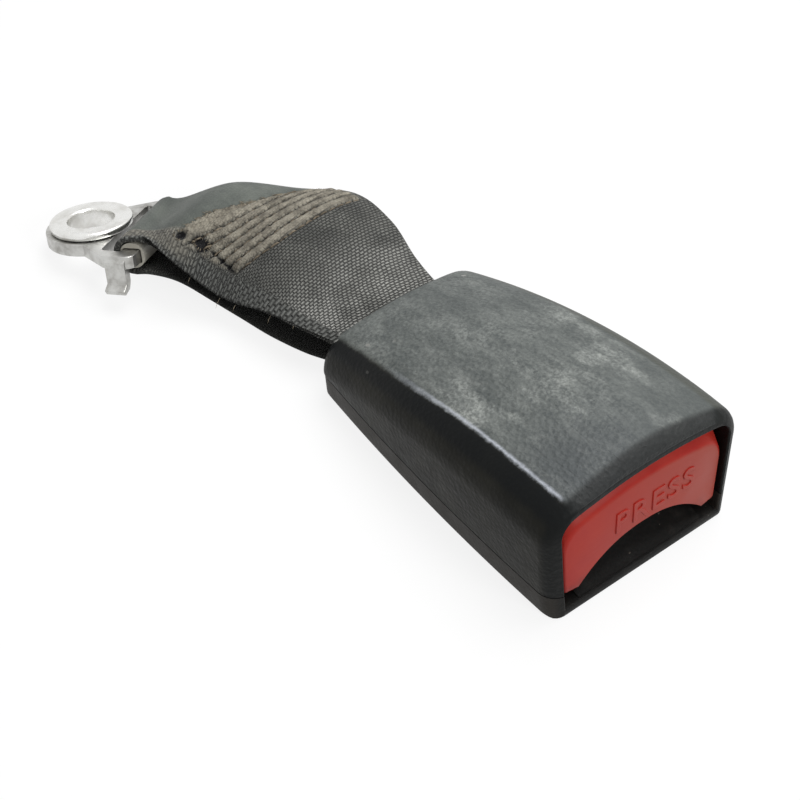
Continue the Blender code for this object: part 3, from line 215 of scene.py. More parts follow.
class Shader:
    """Builds one Principled material from nodes."""

    def __init__(self, name):
        self.material = bpy.data.materials.new(name)
        self.material.use_nodes = True
        self.tree = self.material.node_tree
        self.bsdf = self.tree.nodes["Principled BSDF"]
        self.place = self.tree.nodes.new("ShaderNodeTexCoord").outputs["Object"]

    def connect(self, source, socket):
        """Link an output, or set a plain value."""
        if isinstance(source, bpy.types.NodeSocket):
            self.tree.links.new(source, socket)
        elif isinstance(source, (tuple, list)) and len(source) == 3 and socket.type == "RGBA":
            socket.default_value = (*source, 1.0)
        else:
            socket.default_value = source

    def fill(self, node, values):
        """Set or link a node's sockets, whose names are written with underscores."""
        for key, value in values.items():
            self.connect(value, node.inputs[key.replace("_", " ")])

    def surface(self, **values):
        """Set or link the shader's own sockets."""
        self.fill(self.bsdf, values)

    def node(self, kind, **values):
        """A new node with its named sockets filled."""
        node = self.tree.nodes.new("ShaderNode" + kind)
        self.fill(node, values)
        return node

    def math(self, operation, first, second=0.0, third=0.0):
        """One Math node."""
        node = self.node("Math")
        node.operation = operation
        for socket, value in zip(node.inputs, (first, second, third)):
            self.connect(value, socket)
        return node.outputs[0]

    def plus(self, first, second):
        """Sum of two values."""
        return self.math("ADD", first, second)

    def minus(self, first, second):
        """Difference of two values."""
        return self.math("SUBTRACT", first, second)

    def times(self, first, second):
        """Product of two values."""
        return self.math("MULTIPLY", first, second)

    def mix(self, factor, first, second):
        """Blend two colours."""
        node = self.node("Mix")
        node.data_type = "RGBA"
        self.connect(factor, node.inputs["Factor"])
        self.connect(first, node.inputs[6])
        self.connect(second, node.inputs[7])
        return node.outputs[2]

    def noise(self, scale, detail=3.0, roughness=0.5, vector=None, stretch=None):
        """Noise in metres, optionally stretched along the axes."""
        source = vector or self.place
        if stretch:
            source = self.node("Mapping", Scale=stretch, Vector=source).outputs[0]
        node = self.node("TexNoise", Scale=scale, Detail=detail, Roughness=roughness, Vector=source)
        return node.outputs["Fac"]

    def quarter_turn(self, vector):
        """Turn a vector a quarter round Z."""
        return self.node("Mapping", Rotation=(0.0, 0.0, math.pi / 2), Vector=vector).outputs[0]

    def wander(self, vector, scale, reach):
        """Shift a vector by noise, up to a reach along each axis."""
        drift = self.node("TexNoise", Scale=scale, Vector=vector).outputs["Color"]
        node = self.node("VectorMath")
        node.operation = "MULTIPLY_ADD"
        for socket, value in zip(node.inputs, (drift, reach, vector)):
            self.connect(value, socket)
        return node.outputs[0]

    def cells(self, scale):
        """Voronoi distance."""
        return self.node("TexVoronoi", Scale=scale, Vector=self.place).outputs["Distance"]

    def bricks(self, vector, width, height, gap):
        """Staggered rows of rounded bumps: 1 on a bump and 0 between them."""
        node = self.node("TexBrick", Color1=(1, 1, 1), Color2=(0.66, 0.66, 0.66), Mortar=(0, 0, 0),
                         Scale=1.0, Mortar_Size=gap, Mortar_Smooth=1.0, Brick_Width=width,
                         Row_Height=height, Vector=vector)
        node.offset = 0.5
        return node.outputs["Color"]

    def limit(self, value, low, high, smooth=True):
        """Map low..high to 0..1, clamped."""
        node = self.node("MapRange", Value=value, From_Min=low, From_Max=high)
        node.interpolation_type = "SMOOTHSTEP" if smooth else "LINEAR"
        return node.outputs[0]

    def attribute(self, name, output="Fac"):
        """A value stored on the mesh."""
        node = self.node("Attribute")
        node.attribute_name = name
        return node.outputs[output]

    def split(self, vector):
        """The three parts of a vector."""
        return self.node("SeparateXYZ", Vector=vector).outputs

    def normal(self):
        """The surface's normal."""
        return self.node("NewGeometry").outputs["Normal"]

    def bump(self, height, distance, strength=1.0):
        """Raise the surface by a height in metres."""
        return self.node("Bump", Distance=distance, Strength=strength, Height=height).outputs[0]


def casing_top_colour(s, x, y, specks):
    """Dusty charcoal: pale scuffs over the middle, and darker towards the near front corner."""
    patches = s.limit(s.noise(62, 5, 0.62, stretch=(0.8, 1.5, 1.0)), 0.46, 0.68)
    streaks = s.limit(s.noise(330, 4, 0.65, stretch=(0.22, 1.0, 1.0)), 0.38, 0.70)
    middle = s.times(s.limit(x, -0.020, 0.012), s.limit(x, 0.038, 0.022))
    scuff = s.times(patches, s.plus(s.times(specks, 0.9), 0.35))
    scuff = s.times(scuff, s.plus(s.times(middle, 0.65), 0.30))
    haze = s.plus(s.times(streaks, 0.45), s.times(specks, 0.40))
    haze = s.times(haze, s.plus(s.times(s.limit(s.noise(38, 3), 0.3, 0.65), 0.7), 0.35))
    colour = s.mix(haze, (0.072, 0.081, 0.079), (0.240, 0.256, 0.240))
    colour = s.mix(scuff, colour, (0.370, 0.388, 0.365))
    front = s.times(s.limit(x, 0.012, 0.034), s.limit(y, 0.014, -0.010))
    return s.mix(s.times(front, 0.55), colour, (0.066, 0.073, 0.080))


def casing_side_colour(s, y, turn):
    """Near black, and paler round the far top edge."""
    mottle = s.limit(s.noise(85, 4, 0.6), 0.35, 0.7)
    side = s.mix(mottle, (0.0100, 0.0100, 0.0080), (0.0215, 0.0210, 0.0165))
    far = s.limit(y, 0.012, 0.016)
    return s.mix(s.times(far, s.limit(turn, 0.3, 0.75)), side, (0.075, 0.080, 0.070))


def painted_edge_highlight(s, x, front_x, above, near, specks):
    """How strongly the painted highlight shows along the near top edge."""
    line = s.limit(s.math("ABSOLUTE", s.minus(above, 0.045)), 0.075, 0.0)
    line = s.times(s.times(line, near), s.limit(x, -0.024, 0.010))
    line = s.times(line, s.times(s.limit(front_x, 0.0375, 0.0355), 0.9))
    return s.times(line, s.plus(s.times(specks, 0.35), 0.65))


def casing_relief(s, top):
    """Moulded grain and fine scratches, flatter on the sides."""
    grain = s.plus(s.cells(950), s.times(s.noise(2000, 3, 0.6), 0.7))
    scratch = s.limit(s.noise(700, 2, 0.6, stretch=(0.12, 1.0, 1.0)), 0.60, 0.72)
    relief = s.minus(grain, s.times(scratch, 0.25))
    return s.times(relief, s.plus(s.times(top, 0.7), 0.3))


def casing_plastic():
    """Charcoal plastic: dusty grained top, smooth dark sides, a painted highlight along the near top edge
    with painted shade below it, and painted shade round the mouth's lip.
    """
    s = Shader("casing_plastic")
    x, y, z = s.split(s.place)
    front_x = s.plus(x, s.times(z, FRONT_LEAN / CASING_HEIGHT_FRONT))
    ragged = s.times(s.minus(s.noise(650, 4, 0.75), 0.5), 0.09)
    turn = s.plus(s.attribute("edge"), ragged)
    top = s.limit(turn, 0.80, 1.0)
    specks = s.limit(s.noise(1150, 4, 0.8), 0.38, 0.64)
    crest = s.plus(s.times(s.limit(x, -0.016, 0.012), 0.085), 0.665)
    above = s.minus(turn, crest)
    colour = s.mix(s.limit(above, -0.05, 0.08), casing_side_colour(s, y, turn),
                   casing_top_colour(s, x, y, specks))
    near = s.limit(y, -0.010, -0.014)
    # Painted shade: a near-black band on the near top edge's rounding, below the painted highlight.
    band = s.times(s.limit(turn, 0.30, 0.46), s.limit(above, 0.02, -0.06))
    band = s.times(band, near)
    colour = s.mix(s.times(band, 0.85), colour, (0.0040, 0.0050, 0.0058))
    # Painted shade: a dark band where the top rolls down into the mouth.
    lip = s.limit(s.plus(front_x, s.times(ragged, 0.003)), 0.0366, 0.0384)
    colour = s.mix(s.times(lip, 0.92), colour, (0.0065, 0.0075, 0.0075))
    # Painted highlight: a pale bluish line along the near top edge, where the light glances off the rounding.
    colour = s.mix(painted_edge_highlight(s, x, front_x, above, near, specks), colour, (0.560, 0.590, 0.650))
    nick = s.times(s.limit(s.noise(300, 1, 0.5), 0.74, 0.78), s.limit(x, -0.020, -0.034))
    colour = s.mix(nick, colour, (0.34, 0.34, 0.32))
    rough = s.plus(s.times(top, 0.16), s.times(s.noise(300, 3), 0.16))
    rough = s.minus(s.plus(rough, 0.38), s.times(band, 0.10))
    s.surface(Base_Color=colour, Roughness=rough, Normal=s.bump(casing_relief(s, top), 0.00022, 1.0))
    s.surface(Specular_IOR_Level=s.plus(s.times(top, 0.22), 0.10))
    return s.material


def tray_plastic():
    """The lower shell: the same plastic, smoother, browner and dusty in its corners, with painted shade on
    the faces that do not face sideways.
    """
    s = Shader("tray_plastic")
    dust = s.limit(s.noise(160, 5, 0.65), 0.48, 0.78)
    # Painted shade: faces that do not face sideways, such as the funnel under the button, are painted darker.
    outside = s.limit(s.math("ABSOLUTE", s.split(s.normal())[1]), 0.3, 0.8)
    colour = s.mix(outside, (0.0062, 0.0062, 0.0058), (0.0290, 0.0255, 0.0215))
    colour = s.mix(s.times(dust, 0.5), colour, (0.045, 0.042, 0.037))
    specks = s.limit(s.noise(900, 2, 0.5), 0.70, 0.78)
    colour = s.mix(specks, colour, (0.10, 0.09, 0.075))
    relief = s.plus(s.cells(1300), s.noise(2600, 3, 0.6))
    rough = s.plus(s.times(s.noise(240, 4), 0.2), 0.40)
    s.surface(Base_Color=colour, Roughness=rough, Normal=s.bump(relief, 0.00005, 0.6))
    s.surface(Specular_IOR_Level=0.12)
    return s.material


def button_plastic():
    """Faded red plastic with a mottled bloom, fine scratches and a painted pale sheen on its forward-facing
    face.
    """
    s = Shader("button_red")
    bloom = s.limit(s.noise(95, 5, 0.62), 0.38, 0.72)
    facing = s.split(s.normal())[0]
    _, y, z = s.split(s.place)
    # Painted sheen: faces that point forward are painted paler and pinker, more so towards the far side.
    painted_face_sheen = s.times(s.limit(facing, 0.86, 0.99), s.limit(y, -0.024, 0.018, False))
    colour = s.mix(bloom, (0.420, 0.020, 0.014), (0.460, 0.034, 0.022))
    colour = s.mix(s.times(painted_face_sheen, 0.8), colour, (0.380, 0.075, 0.052))
    # Darker in patches towards the bottom of the button.
    darker_low_patches = s.times(s.limit(z, 0.0100, 0.0040), s.limit(s.noise(300, 3), 0.35, 0.7))
    colour = s.mix(s.times(darker_low_patches, 0.5), colour, (0.08, 0.018, 0.014))
    scratch = s.noise(900, 3, 0.6, stretch=(1.0, 0.25, 1.0))
    rough = s.plus(s.times(bloom, 0.14), 0.30)
    s.surface(Base_Color=colour, Roughness=rough, Normal=s.bump(scratch, 0.00004, 0.5))
    s.surface(Specular_IOR_Level=0.16)
    return s.material


def webbing_weave():
    """Grey webbing: fine cross ribs, coarse ropes at the curled edge, tan dust round the stitching, and
    painted shade in the weave's gaps, the torn place, the stitch grooves and under the top layer.
    """
    s = Shader("webbing_weave")
    flat = s.node("UVMap")
    flat.uv_map = "cloth"
    uv = flat.outputs[0]
    dusty, smooth, coarse = s.split(s.attribute("cloth_mask", "Vector"))
    x, _, z = s.split(s.place)
    turned_uv = s.quarter_turn(s.wander(uv, 260, (0.0009, 0.0007, 0.0)))
    fine = s.bricks(turned_uv, 0.00115, 0.00072, 0.00026)
    ropes = s.bricks(turned_uv, 0.00190, 0.00110, 0.00042)
    weave = s.mix(s.limit(coarse, 0.25, 0.75), fine, ropes)
    yarn = s.noise(4200, 2, 0.6, vector=uv, stretch=(1.0, 0.25, 1.0))
    matted = s.minus(1.0, s.times(smooth, 0.90))
    matted = s.times(matted, s.minus(1.0, s.times(dusty, 0.72)))
    relief = s.times(weave, matted)
    relief = s.plus(relief, s.times(yarn, 0.35))
    relief = s.plus(relief, s.times(s.noise(520, 4, 0.7), s.times(dusty, 0.9)))
    tone = s.limit(s.noise(120, 5, 0.65), 0.34, 0.70)
    colour = s.mix(tone, (0.110, 0.112, 0.103), (0.220, 0.222, 0.202))
    pale = s.times(s.limit(x, -0.066, -0.044), s.limit(z, 0.0075, 0.0095))
    pale = s.times(pale, s.plus(s.limit(s.noise(90, 4, 0.6), 0.30, 0.62), 0.25))
    colour = s.mix(pale, colour, (0.480, 0.480, 0.450))
    colour = s.mix(coarse, colour, (0.185, 0.190, 0.178))
    colour = s.mix(smooth, colour, s.mix(tone, (0.082, 0.092, 0.083), (0.140, 0.153, 0.136)))
    dirt = s.limit(s.noise(340, 5, 0.7), 0.30, 0.66)
    tan = s.mix(dirt, (0.150, 0.132, 0.102), (0.420, 0.385, 0.310))
    colour = s.mix(s.times(dusty, 0.88), colour, tan)
    # Painted shade in the gaps between the weave's bumps.
    weave_gap_shade = s.times(s.minus(1.0, weave), matted)
    colour = s.mix(s.times(weave_gap_shade, 0.85), colour, (0.010, 0.010, 0.009))
    # Painted shade: near black inside the torn place and along the stitch grooves.
    colour = s.mix(s.limit(s.attribute("hole"), 0.25, 0.7), colour, (0.003, 0.003, 0.004))
    # Painted shade: the low parts of the strap, under its top layer, are darkened.
    lower = s.limit(z, 0.0085, 0.0060)
    colour = s.mix(s.times(lower, 0.8), colour, (0.016, 0.016, 0.014))
    rough = s.minus(0.92, s.times(smooth, 0.22))
    s.surface(Base_Color=colour, Roughness=rough, Normal=s.bump(relief, 0.00055, 1.0))
    s.surface(Sheen_Weight=0.08, Sheen_Roughness=0.5, Specular_IOR_Level=0.3)
    return s.material


def thread_material(name, pale, deep):
    """Sewing thread or fibre, mottled with dirt."""
    s = Shader(name)
    colour = s.mix(s.limit(s.noise(700, 4, 0.7), 0.3, 0.7), deep, pale)
    s.surface(Base_Color=colour, Roughness=0.92)
    s.surface(Normal=s.bump(s.noise(5200, 2, 0.6), 0.00010, 0.8))
    return s.material


def plated_steel(name, pale, deep, roughness):
    """Zinc plate with a dull film and handling marks."""
    s = Shader(name)
    film = s.limit(s.noise(180, 5, 0.65), 0.35, 0.72)
    marks = s.noise(1500, 3, 0.6, stretch=(0.2, 1.0, 1.0))
    rough = s.plus(s.times(film, 0.16), roughness)
    s.surface(Base_Color=s.mix(film, pale, deep), Metallic=1.0, Roughness=rough)
    s.surface(Normal=s.bump(marks, 0.00003, 0.5))
    return s.material


def acetal(name):
    """Natural white plastic, yellowed a little."""
    s = Shader(name)
    colour = s.mix(s.noise(220, 3), (0.46, 0.44, 0.37), (0.60, 0.58, 0.52))
    s.surface(Base_Color=colour, Roughness=0.42, Normal=s.bump(s.noise(1400, 2), 0.00002, 0.4))
    return s.material


def add_object(name, data):
    """A new object in the scene."""
    item = bpy.data.objects.new(name, data)
    bpy.context.collection.objects.link(item)
    return item


def face_outward(bm):
    """Turn every face outward."""
    bmesh.ops.recalc_face_normals(bm, faces=bm.faces[:])


def mesh_object(name, bm, material, body, angle=40):
    """Turn a bmesh into a piece of the model."""
    mesh = bpy.data.meshes.new(name)
    bm.to_mesh(mesh)
    bm.free()
    item = add_object(name, mesh)
    mesh.materials.append(material)
    mesh.shade_smooth()
    if angle:
        mesh.set_sharp_from_angle(angle=math.radians(angle))
    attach(item, body)
    return item


def loft(rings, closed=False, caps=True):
    """Skin a row of equal closed rings."""
    bm = bmesh.new()
    rows = [[bm.verts.new(point) for point in ring] for ring in rings]
    count = len(rows[0])
    pairs = list(zip(rows, rows[1:]))
    if closed:
        pairs.append((rows[-1], rows[0]))
    for row, following in pairs:
        for index in range(count):
            neighbour = (index + 1) % count
            bm.faces.new((row[index], row[neighbour], following[neighbour], following[index]))
    if caps and not closed:
        bm.faces.new(rows[0])
        bm.faces.new(rows[-1])
    face_outward(bm)
    return bm


def arc(centre, radius, start_deg, end_deg, steps):
    """Points of an arc, both ends included."""
    points = []
    for index in range(steps + 1):
        angle = math.radians(start_deg + (end_deg - start_deg) * index / steps)
        points.append((centre[0] + radius * math.cos(angle), centre[1] + radius * math.sin(angle)))
    return points


def bevel(item, width, segments=2, angle=40):
    """Soften the sharp edges."""
    modifier = item.modifiers.new("soft_edges", "BEVEL")
    modifier.width = width
    modifier.segments = segments
    modifier.limit_method = "ANGLE"
    modifier.angle_limit = math.radians(angle)
    modifier.harden_normals = True


def casing_share(x):
    """0 at the mouth of the casing and 1 at its rear."""
    return (CASING_FRONT - x) / CASING_LENGTH


def casing_half_width(x):
    """Half the casing's width at the seam."""
    share = casing_share(x)
    straight = CASING_WIDTH_FRONT + (CASING_WIDTH_REAR - CASING_WIDTH_FRONT) * share
    return straight / 2 + 4 * CASING_SIDE_BULGE * share * (1 - share)


def top_crown(x):
    """How far the top falls from its middle line to its edges."""
    return CROWN_FRONT + (CROWN_REAR - CROWN_FRONT) * casing_share(x)


def button_crown():
    """How far the button's top falls to its edges: as much as the hood over it."""
    return CROWN_FRONT - CROWN_EASE * MOUTH_TOP_WALL


def side_flare(x):
    """How far the sides lean out between the seam and the rounded top edge."""
    return SIDE_FLARE_FRONT + (SIDE_FLARE_REAR - SIDE_FLARE_FRONT) * casing_share(x)


def casing_height(x):
    """Height of the casing's top along its middle line."""
    share = casing_share(x)
    straight = CASING_HEIGHT_FRONT + (CASING_HEIGHT_REAR - CASING_HEIGHT_FRONT) * share
    return straight + 4 * CASING_TOP_BULGE * share * (1 - share)


def lean(x, z):
    """The mouth leans back towards its top, and the lean fades away behind it."""
    share = (x - (CASING_FRONT - FRONT_LEAN_REACH)) / FRONT_LEAN_REACH
    return x - FRONT_LEAN * max(share, 0.0) * z / CASING_HEIGHT_FRONT


def edge_inset(distance, radius):
    """How far a round edge draws in at a distance from its end."""
    if distance >= radius:
        return 0.0
    return radius - math.sqrt(radius ** 2 - (radius - distance) ** 2)


def ease(start, end, slopes, count):
    """Points between two places, leaving the first and reaching the second along the given slopes."""
    gap = slopes[0] - slopes[1]
    middle_y = (end[1] - start[1] + slopes[0] * start[0] - slopes[1] * end[0]) / gap
    middle_y = min(max(middle_y, end[0]), start[0])
    middle_z = start[1] + slopes[0] * (middle_y - start[0])
    points = []
    for index in range(count):
        share = (index + 1) / (count + 1)
        rest = 1 - share
        y = rest ** 2 * start[0] + 2 * rest * share * middle_y + share ** 2 * end[0]
        z = rest ** 2 * start[1] + 2 * rest * share * middle_z + share ** 2 * end[1]
        points.append((y, z))
    return points


def casing_section(x, side=0.0, top=0.0, floor=0.0):
    """One fine section as (y, z, edge) points; edge runs 0 to 1 round the top edge, and on over the top."""
    half = casing_half_width(x) - side
    height = casing_height(x) - top
    crown = top_crown(x) - CROWN_EASE * top
    flare = side_flare(x)
    room = height - crown - SEAM_HEIGHT - SLIDE_GAP
    top_radius = min(max(TOP_EDGE_RADIUS - max(side, top), TOP_EDGE_RADIUS_LEAST), room)
    floor_radius = max(UNDERSIDE_EDGE_RADIUS - max(side, floor), GAP)
    right = [(0.0, floor, 0.0), (half * 0.5, floor, 0.0)]
    corner = (half - UNDERSIDE_TUCK - floor_radius, floor + floor_radius)
    right += [(y, z, 0.0) for y, z in arc(corner, floor_radius, -90, 0, 5)]
    right.append((half, SEAM_HEIGHT, 0.0))
    edge_y = half + flare - top_radius
    edge_z = height - crown - top_radius
    right.append((half + flare * 0.5, (SEAM_HEIGHT + edge_z) / 2, 0.0))
    steps = 16
    turn = math.radians(90 * EASE_START)
    corner = arc((edge_y, edge_z), top_radius, 0, 90 * EASE_START, int(steps * EASE_START))
    for index, (y, z) in enumerate(corner):
        right.append((y, z, index / steps))
    end = (edge_y * EASE_END, height - crown * EASE_END ** 2)
    slopes = (-1 / math.tan(turn), -2 * crown * EASE_END / edge_y)
    eased = ease(corner[-1], end, slopes, 6)
    for index, (y, z) in enumerate(eased):
        right.append((y, z, EASE_START + (2.0 - EASE_END - EASE_START) * (index + 1) / 7))
    for share in (0.6, 0.45, 0.3, 0.15):
        right.append((edge_y * share, height - crown * share ** 2, 2.0 - share))
    left = [(-y, z, edge) for y, z, edge in reversed(right[1:])]
    return right + [(0.0, height, 2.0)] + left


def exit_ring(x, grow=0.0):
    """The strap exit with as many points as a casing section: a rectangle with soft corners."""
    middle = (STRAP_EXIT_LOW + STRAP_EXIT_TOP) / 2
    reach_y = STRAP_EXIT_HALF_WIDTH + grow
    reach_z = (STRAP_EXIT_TOP - STRAP_EXIT_LOW) / 2 + grow
    section = casing_section(CASING_REAR + REAR_CORNER_RADIUS, SIDE_WALL, TOP_WALL, FLOOR_WALL)
    centre = (max(point[1] for point in section) + FLOOR_WALL) / 2
    widest = max(point[0] for point in section)
    tallest = centre - FLOOR_WALL
    ring = []
    for y, z, _ in section:
        angle = math.atan2((z - centre) / tallest, y / widest)
        across = math.copysign(abs(math.cos(angle)) ** 0.22, math.cos(angle))
        up = math.copysign(abs(math.sin(angle)) ** 0.22, math.sin(angle))
        ring.append((x, reach_y * across, middle + reach_z * up))
    return ring


def casing_rings():
    """Rings from the strap exit's inside, forward through the hollow, round the lip and back outside."""
    rings = []
    edges = []

    def put(x, side, top, floor, outside):
        section = casing_section(x, side, top, floor)
        rings.append([(lean(x, z), y, z) for y, z, _ in section])
        edges.append([point[2] if outside else 0.0 for point in section])

    blank = [0.0] * len(casing_section(0.0))
    end = CASING_REAR + REAR_CORNER_RADIUS
    radius = REAR_CORNER_RADIUS - SIDE_WALL
    rings.append(exit_ring(end - radius))
    edges.append(blank)
    for angle in (90, 65, 40):
        turn = math.radians(angle)
        side = SIDE_WALL + radius * (1 - math.cos(turn))
        put(end - radius * math.sin(turn), side, TOP_WALL, FLOOR_WALL, False)
    throat_end = CASING_FRONT - MOUTH_DEPTH
    full_start = throat_end - (MOUTH_WALL - SIDE_WALL)
    for index in range(9):
        put(end + (full_start - end) * index / 8, SIDE_WALL, TOP_WALL, FLOOR_WALL, False)
    for depth in (MOUTH_DEPTH, MOUTH_DEPTH * 0.5, 0.0009, 0.0004):
        put(CASING_FRONT - depth, MOUTH_WALL, MOUTH_TOP_WALL, FLOOR_WALL, False)
    put(CASING_FRONT - 0.00016, MOUTH_WALL - 0.00012, MOUTH_TOP_WALL - 0.0001, FLOOR_WALL - 0.0001, False)
    put(CASING_FRONT - 0.00005, MOUTH_WALL - 0.00034, MOUTH_TOP_WALL - 0.0004, FLOOR_WALL - 0.0005, False)
    sizes = (FRONT_CORNER_RADIUS, FRONT_TOP_RADIUS, END_FLOOR_RADIUS)
    for depth in (0.00018, 0.0004, 0.0008, 0.0013, 0.0020, 0.0029, 0.0037, FRONT_CORNER_RADIUS):
        insets = [edge_inset(depth, size) for size in sizes]
        insets[0] = min(insets[0], MOUTH_WALL - 0.0005)
        put(CASING_FRONT - depth, *insets, True)
    start = CASING_FRONT - FRONT_CORNER_RADIUS
    for index in range(1, 40):
        put(start + (end - start) * index / 40, 0.0, 0.0, 0.0, True)
    sizes = (REAR_CORNER_RADIUS, REAR_TOP_RADIUS, END_FLOOR_RADIUS)
    for share in (1.0, 0.82, 0.64, 0.48, 0.34, 0.22, 0.13, 0.06, 0.02, 0.0):
        depth = REAR_CORNER_RADIUS * share
        put(CASING_REAR + depth, *[edge_inset(depth, size) for size in sizes], True)
    for inward, grow in ((0.0, 0.0004), (0.00015, 0.0001), (0.0005, 0.0)):
        rings.append(exit_ring(CASING_REAR + inward, grow))
        edges.append(blank)
    return rings, edges


def half_casing(name, node, keep_above, material):
    """One shell of the casing: the skin and its hollow, cut at the seam."""
    rings, edges = casing_rings()
    bm = loft(rings, closed=True)
    layer = bm.verts.layers.float.new("edge")
    bm.verts.ensure_lookup_table()
    for vertex, value in zip(bm.verts, [value for ring in edges for value in ring]):
        vertex[layer] = value
    height = SEAM_HEIGHT + (SEAM_GROOVE / 2 if keep_above else -SEAM_GROOVE / 2)
    everything = bm.verts[:] + bm.edges[:] + bm.faces[:]
    bmesh.ops.bisect_plane(bm, geom=everything, plane_co=(0, 0, height), plane_no=(0, 0, 1),
                           clear_inner=keep_above, clear_outer=not keep_above)
    rim = [edge for edge in bm.edges if edge.is_boundary]
    bmesh.ops.holes_fill(bm, edges=rim, sides=0)
    face_outward(bm)
    shell = mesh_object(name, bm, material, "casing")
    bevel(shell, 0.00022, 2, 55)
    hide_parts(node)
    return shell


def button_half_width():
    """Half the width of the button, a slide clear of the mouth's walls."""
    return casing_half_width(CASING_FRONT) - MOUTH_WALL - SLIDE_GAP


def arch_height(y, half):
    """Lower edge of the button face, high in the middle and falling to the legs."""
    return ARCH_TOP - ARCH_DROP * min(abs(y) / half, 1.0) ** ARCH_POWER


def funnel(material):
    """Sloping lip under the button, rising from the mouth towards the top of the frame."""
    front = CASING_FRONT - END_FLOOR_RADIUS
    half = button_half_width() - BUTTON_LEG_WIDTH
    rise = FRAME_TOP - FLOOR_WALL - FUNNEL_LIP - GAP
    rings = []
    steps = 20
    columns = 44
    for step in range(steps + 1):
        share = step / steps
        surface = FLOOR_WALL + FUNNEL_LIP * 0.3 + rise * min(share * 1.15, 1.0) ** 1.5
        x = front - FUNNEL_DEPTH * share
        ring = [(x, SLIDE_GAP - half, FLOOR_WALL / 2)]
        for index in range(columns + 1):
            y = (half - SLIDE_GAP) * (-1 + 2 * index / columns)
            low = arch_height(y, half) - SWING_GAP
            blend = 1 / (1 / max(surface, 0.001) ** 6 + 1 / max(low, 0.001) ** 6) ** (1 / 6)
            ring.append((x, y, blend))
        ring.append((x, half - SLIDE_GAP, FLOOR_WALL / 2))
        rings.append(ring)
    piece = mesh_object("funnel_lip", loft(rings), material, "casing", 50)
    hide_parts("lower_shell")
    return piece


def button_outline(inset, top_drop=0.0):
    """Fine outline of the button's face as (y, z) points, with its arched lower edge."""
    half = button_half_width() - inset
    roof = casing_height(CASING_FRONT - BUTTON_DEPTH - TRAVEL_BUTTON) - MOUTH_TOP_WALL
    top = roof - SLIDE_GAP - inset - top_drop
    radius = TOP_EDGE_RADIUS - MOUTH_WALL
    foot = BUTTON_LEG_FOOT + inset
    edge_y = half + SIDE_FLARE_FRONT * 0.8 - radius
    foot_y = half + SIDE_FLARE_FRONT * 0.2 - LEG_CORNER
    points = arc((foot_y, foot + LEG_CORNER), LEG_CORNER, -90, 0, 3)
    points += arc((edge_y, top - button_crown() - radius), radius, 0, 90, 12)
    for index in range(1, 14):
        share = 1 - 2 * index / 14
        points.append((edge_y * share, top - button_crown() * share ** 2))
    points += arc((-edge_y, top - button_crown() - radius), radius, 90, 180, 12)
    points += arc((-foot_y, foot + LEG_CORNER), LEG_CORNER, 180, 270, 3)
    inner = button_half_width() - BUTTON_LEG_WIDTH - inset * 0.4
    steps = 48
    for index in range(steps + 1):
        y = -inner + 2 * inner * index / steps
        points.append((y, arch_height(y, inner) + inset * 0.25))
    return points


def face_fill(bm):
    """Triangulate a big flat cap so that it shades evenly."""
    caps = [face for face in bm.faces if len(face.verts) > 4]
    bmesh.ops.triangulate(bm, faces=caps, quad_method="BEAUTY", ngon_method="BEAUTY")


def button(material):
    """The press button: face with rounded edges, sloping top facet, hollow back and two arms."""
    face = CASING_FRONT - BUTTON_RECESS
    back = face - BUTTON_DEPTH
    # Columns: depth behind the face, inset of the outline, share of the top facet's slope
    profile = [(0.0, 1.15, 1.05), (0.00006, 0.95, 0.97), (0.00022, 0.72, 0.88), (0.00050, 0.52, 0.76)]
    profile += [(0.00125, 0.34, 0.50), (0.00200, 0.16, 0.23), (0.00250, 0.05, 0.08), (0.00300, 0.0, 0.0)]
    rings = []
    for depth, inset, slope in profile:
        outline = button_outline(BUTTON_EDGE * inset, BUTTON_TOP_SLOPE * slope)
        rings.append([(lean(face, z) - depth, y, z) for y, z in outline])
    full = button_outline(0.0)
    for share in (0.5, 1.0):
        rings.append([(face + (back - face) * share, y, z) for y, z in full])
    hollow = button_outline(BUTTON_WALL, BUTTON_TOP_SLOPE * 0.4)
    for x in (back, back + 0.0002, face - BUTTON_WALL * 1.6):
        rings.append([(x, y, z) for y, z in hollow])
    bm = loft(rings)
    face_fill(bm)
    item = mesh_object("button_cap", bm, material, "button", 50)
    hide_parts("release_button")
    button_arms(face - BUTTON_WALL * 2, material)


def button_arms(front, material):
    """The two arms that run back from the button and carry the lock bar."""
    low = LOCK_BAR_Z - ARM_HEIGHT / 2
    high = LOCK_BAR_Z + ARM_HEIGHT / 2
    outline = [(ARM_REAR, low), (front, low), (front, high), (ARM_REAR, high)]
    for side, label in ((-1, "right"), (1, "left")):
        faces = (side * ARM_INNER, side * (ARM_INNER + ARM_THICKNESS))
        bm = loft([[(x, y, z) for x, z in outline] for y in faces])
        arm = mesh_object("button_arm_" + label, bm, material, "button")
        bevel(arm, 0.0003)
        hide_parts("release_button")


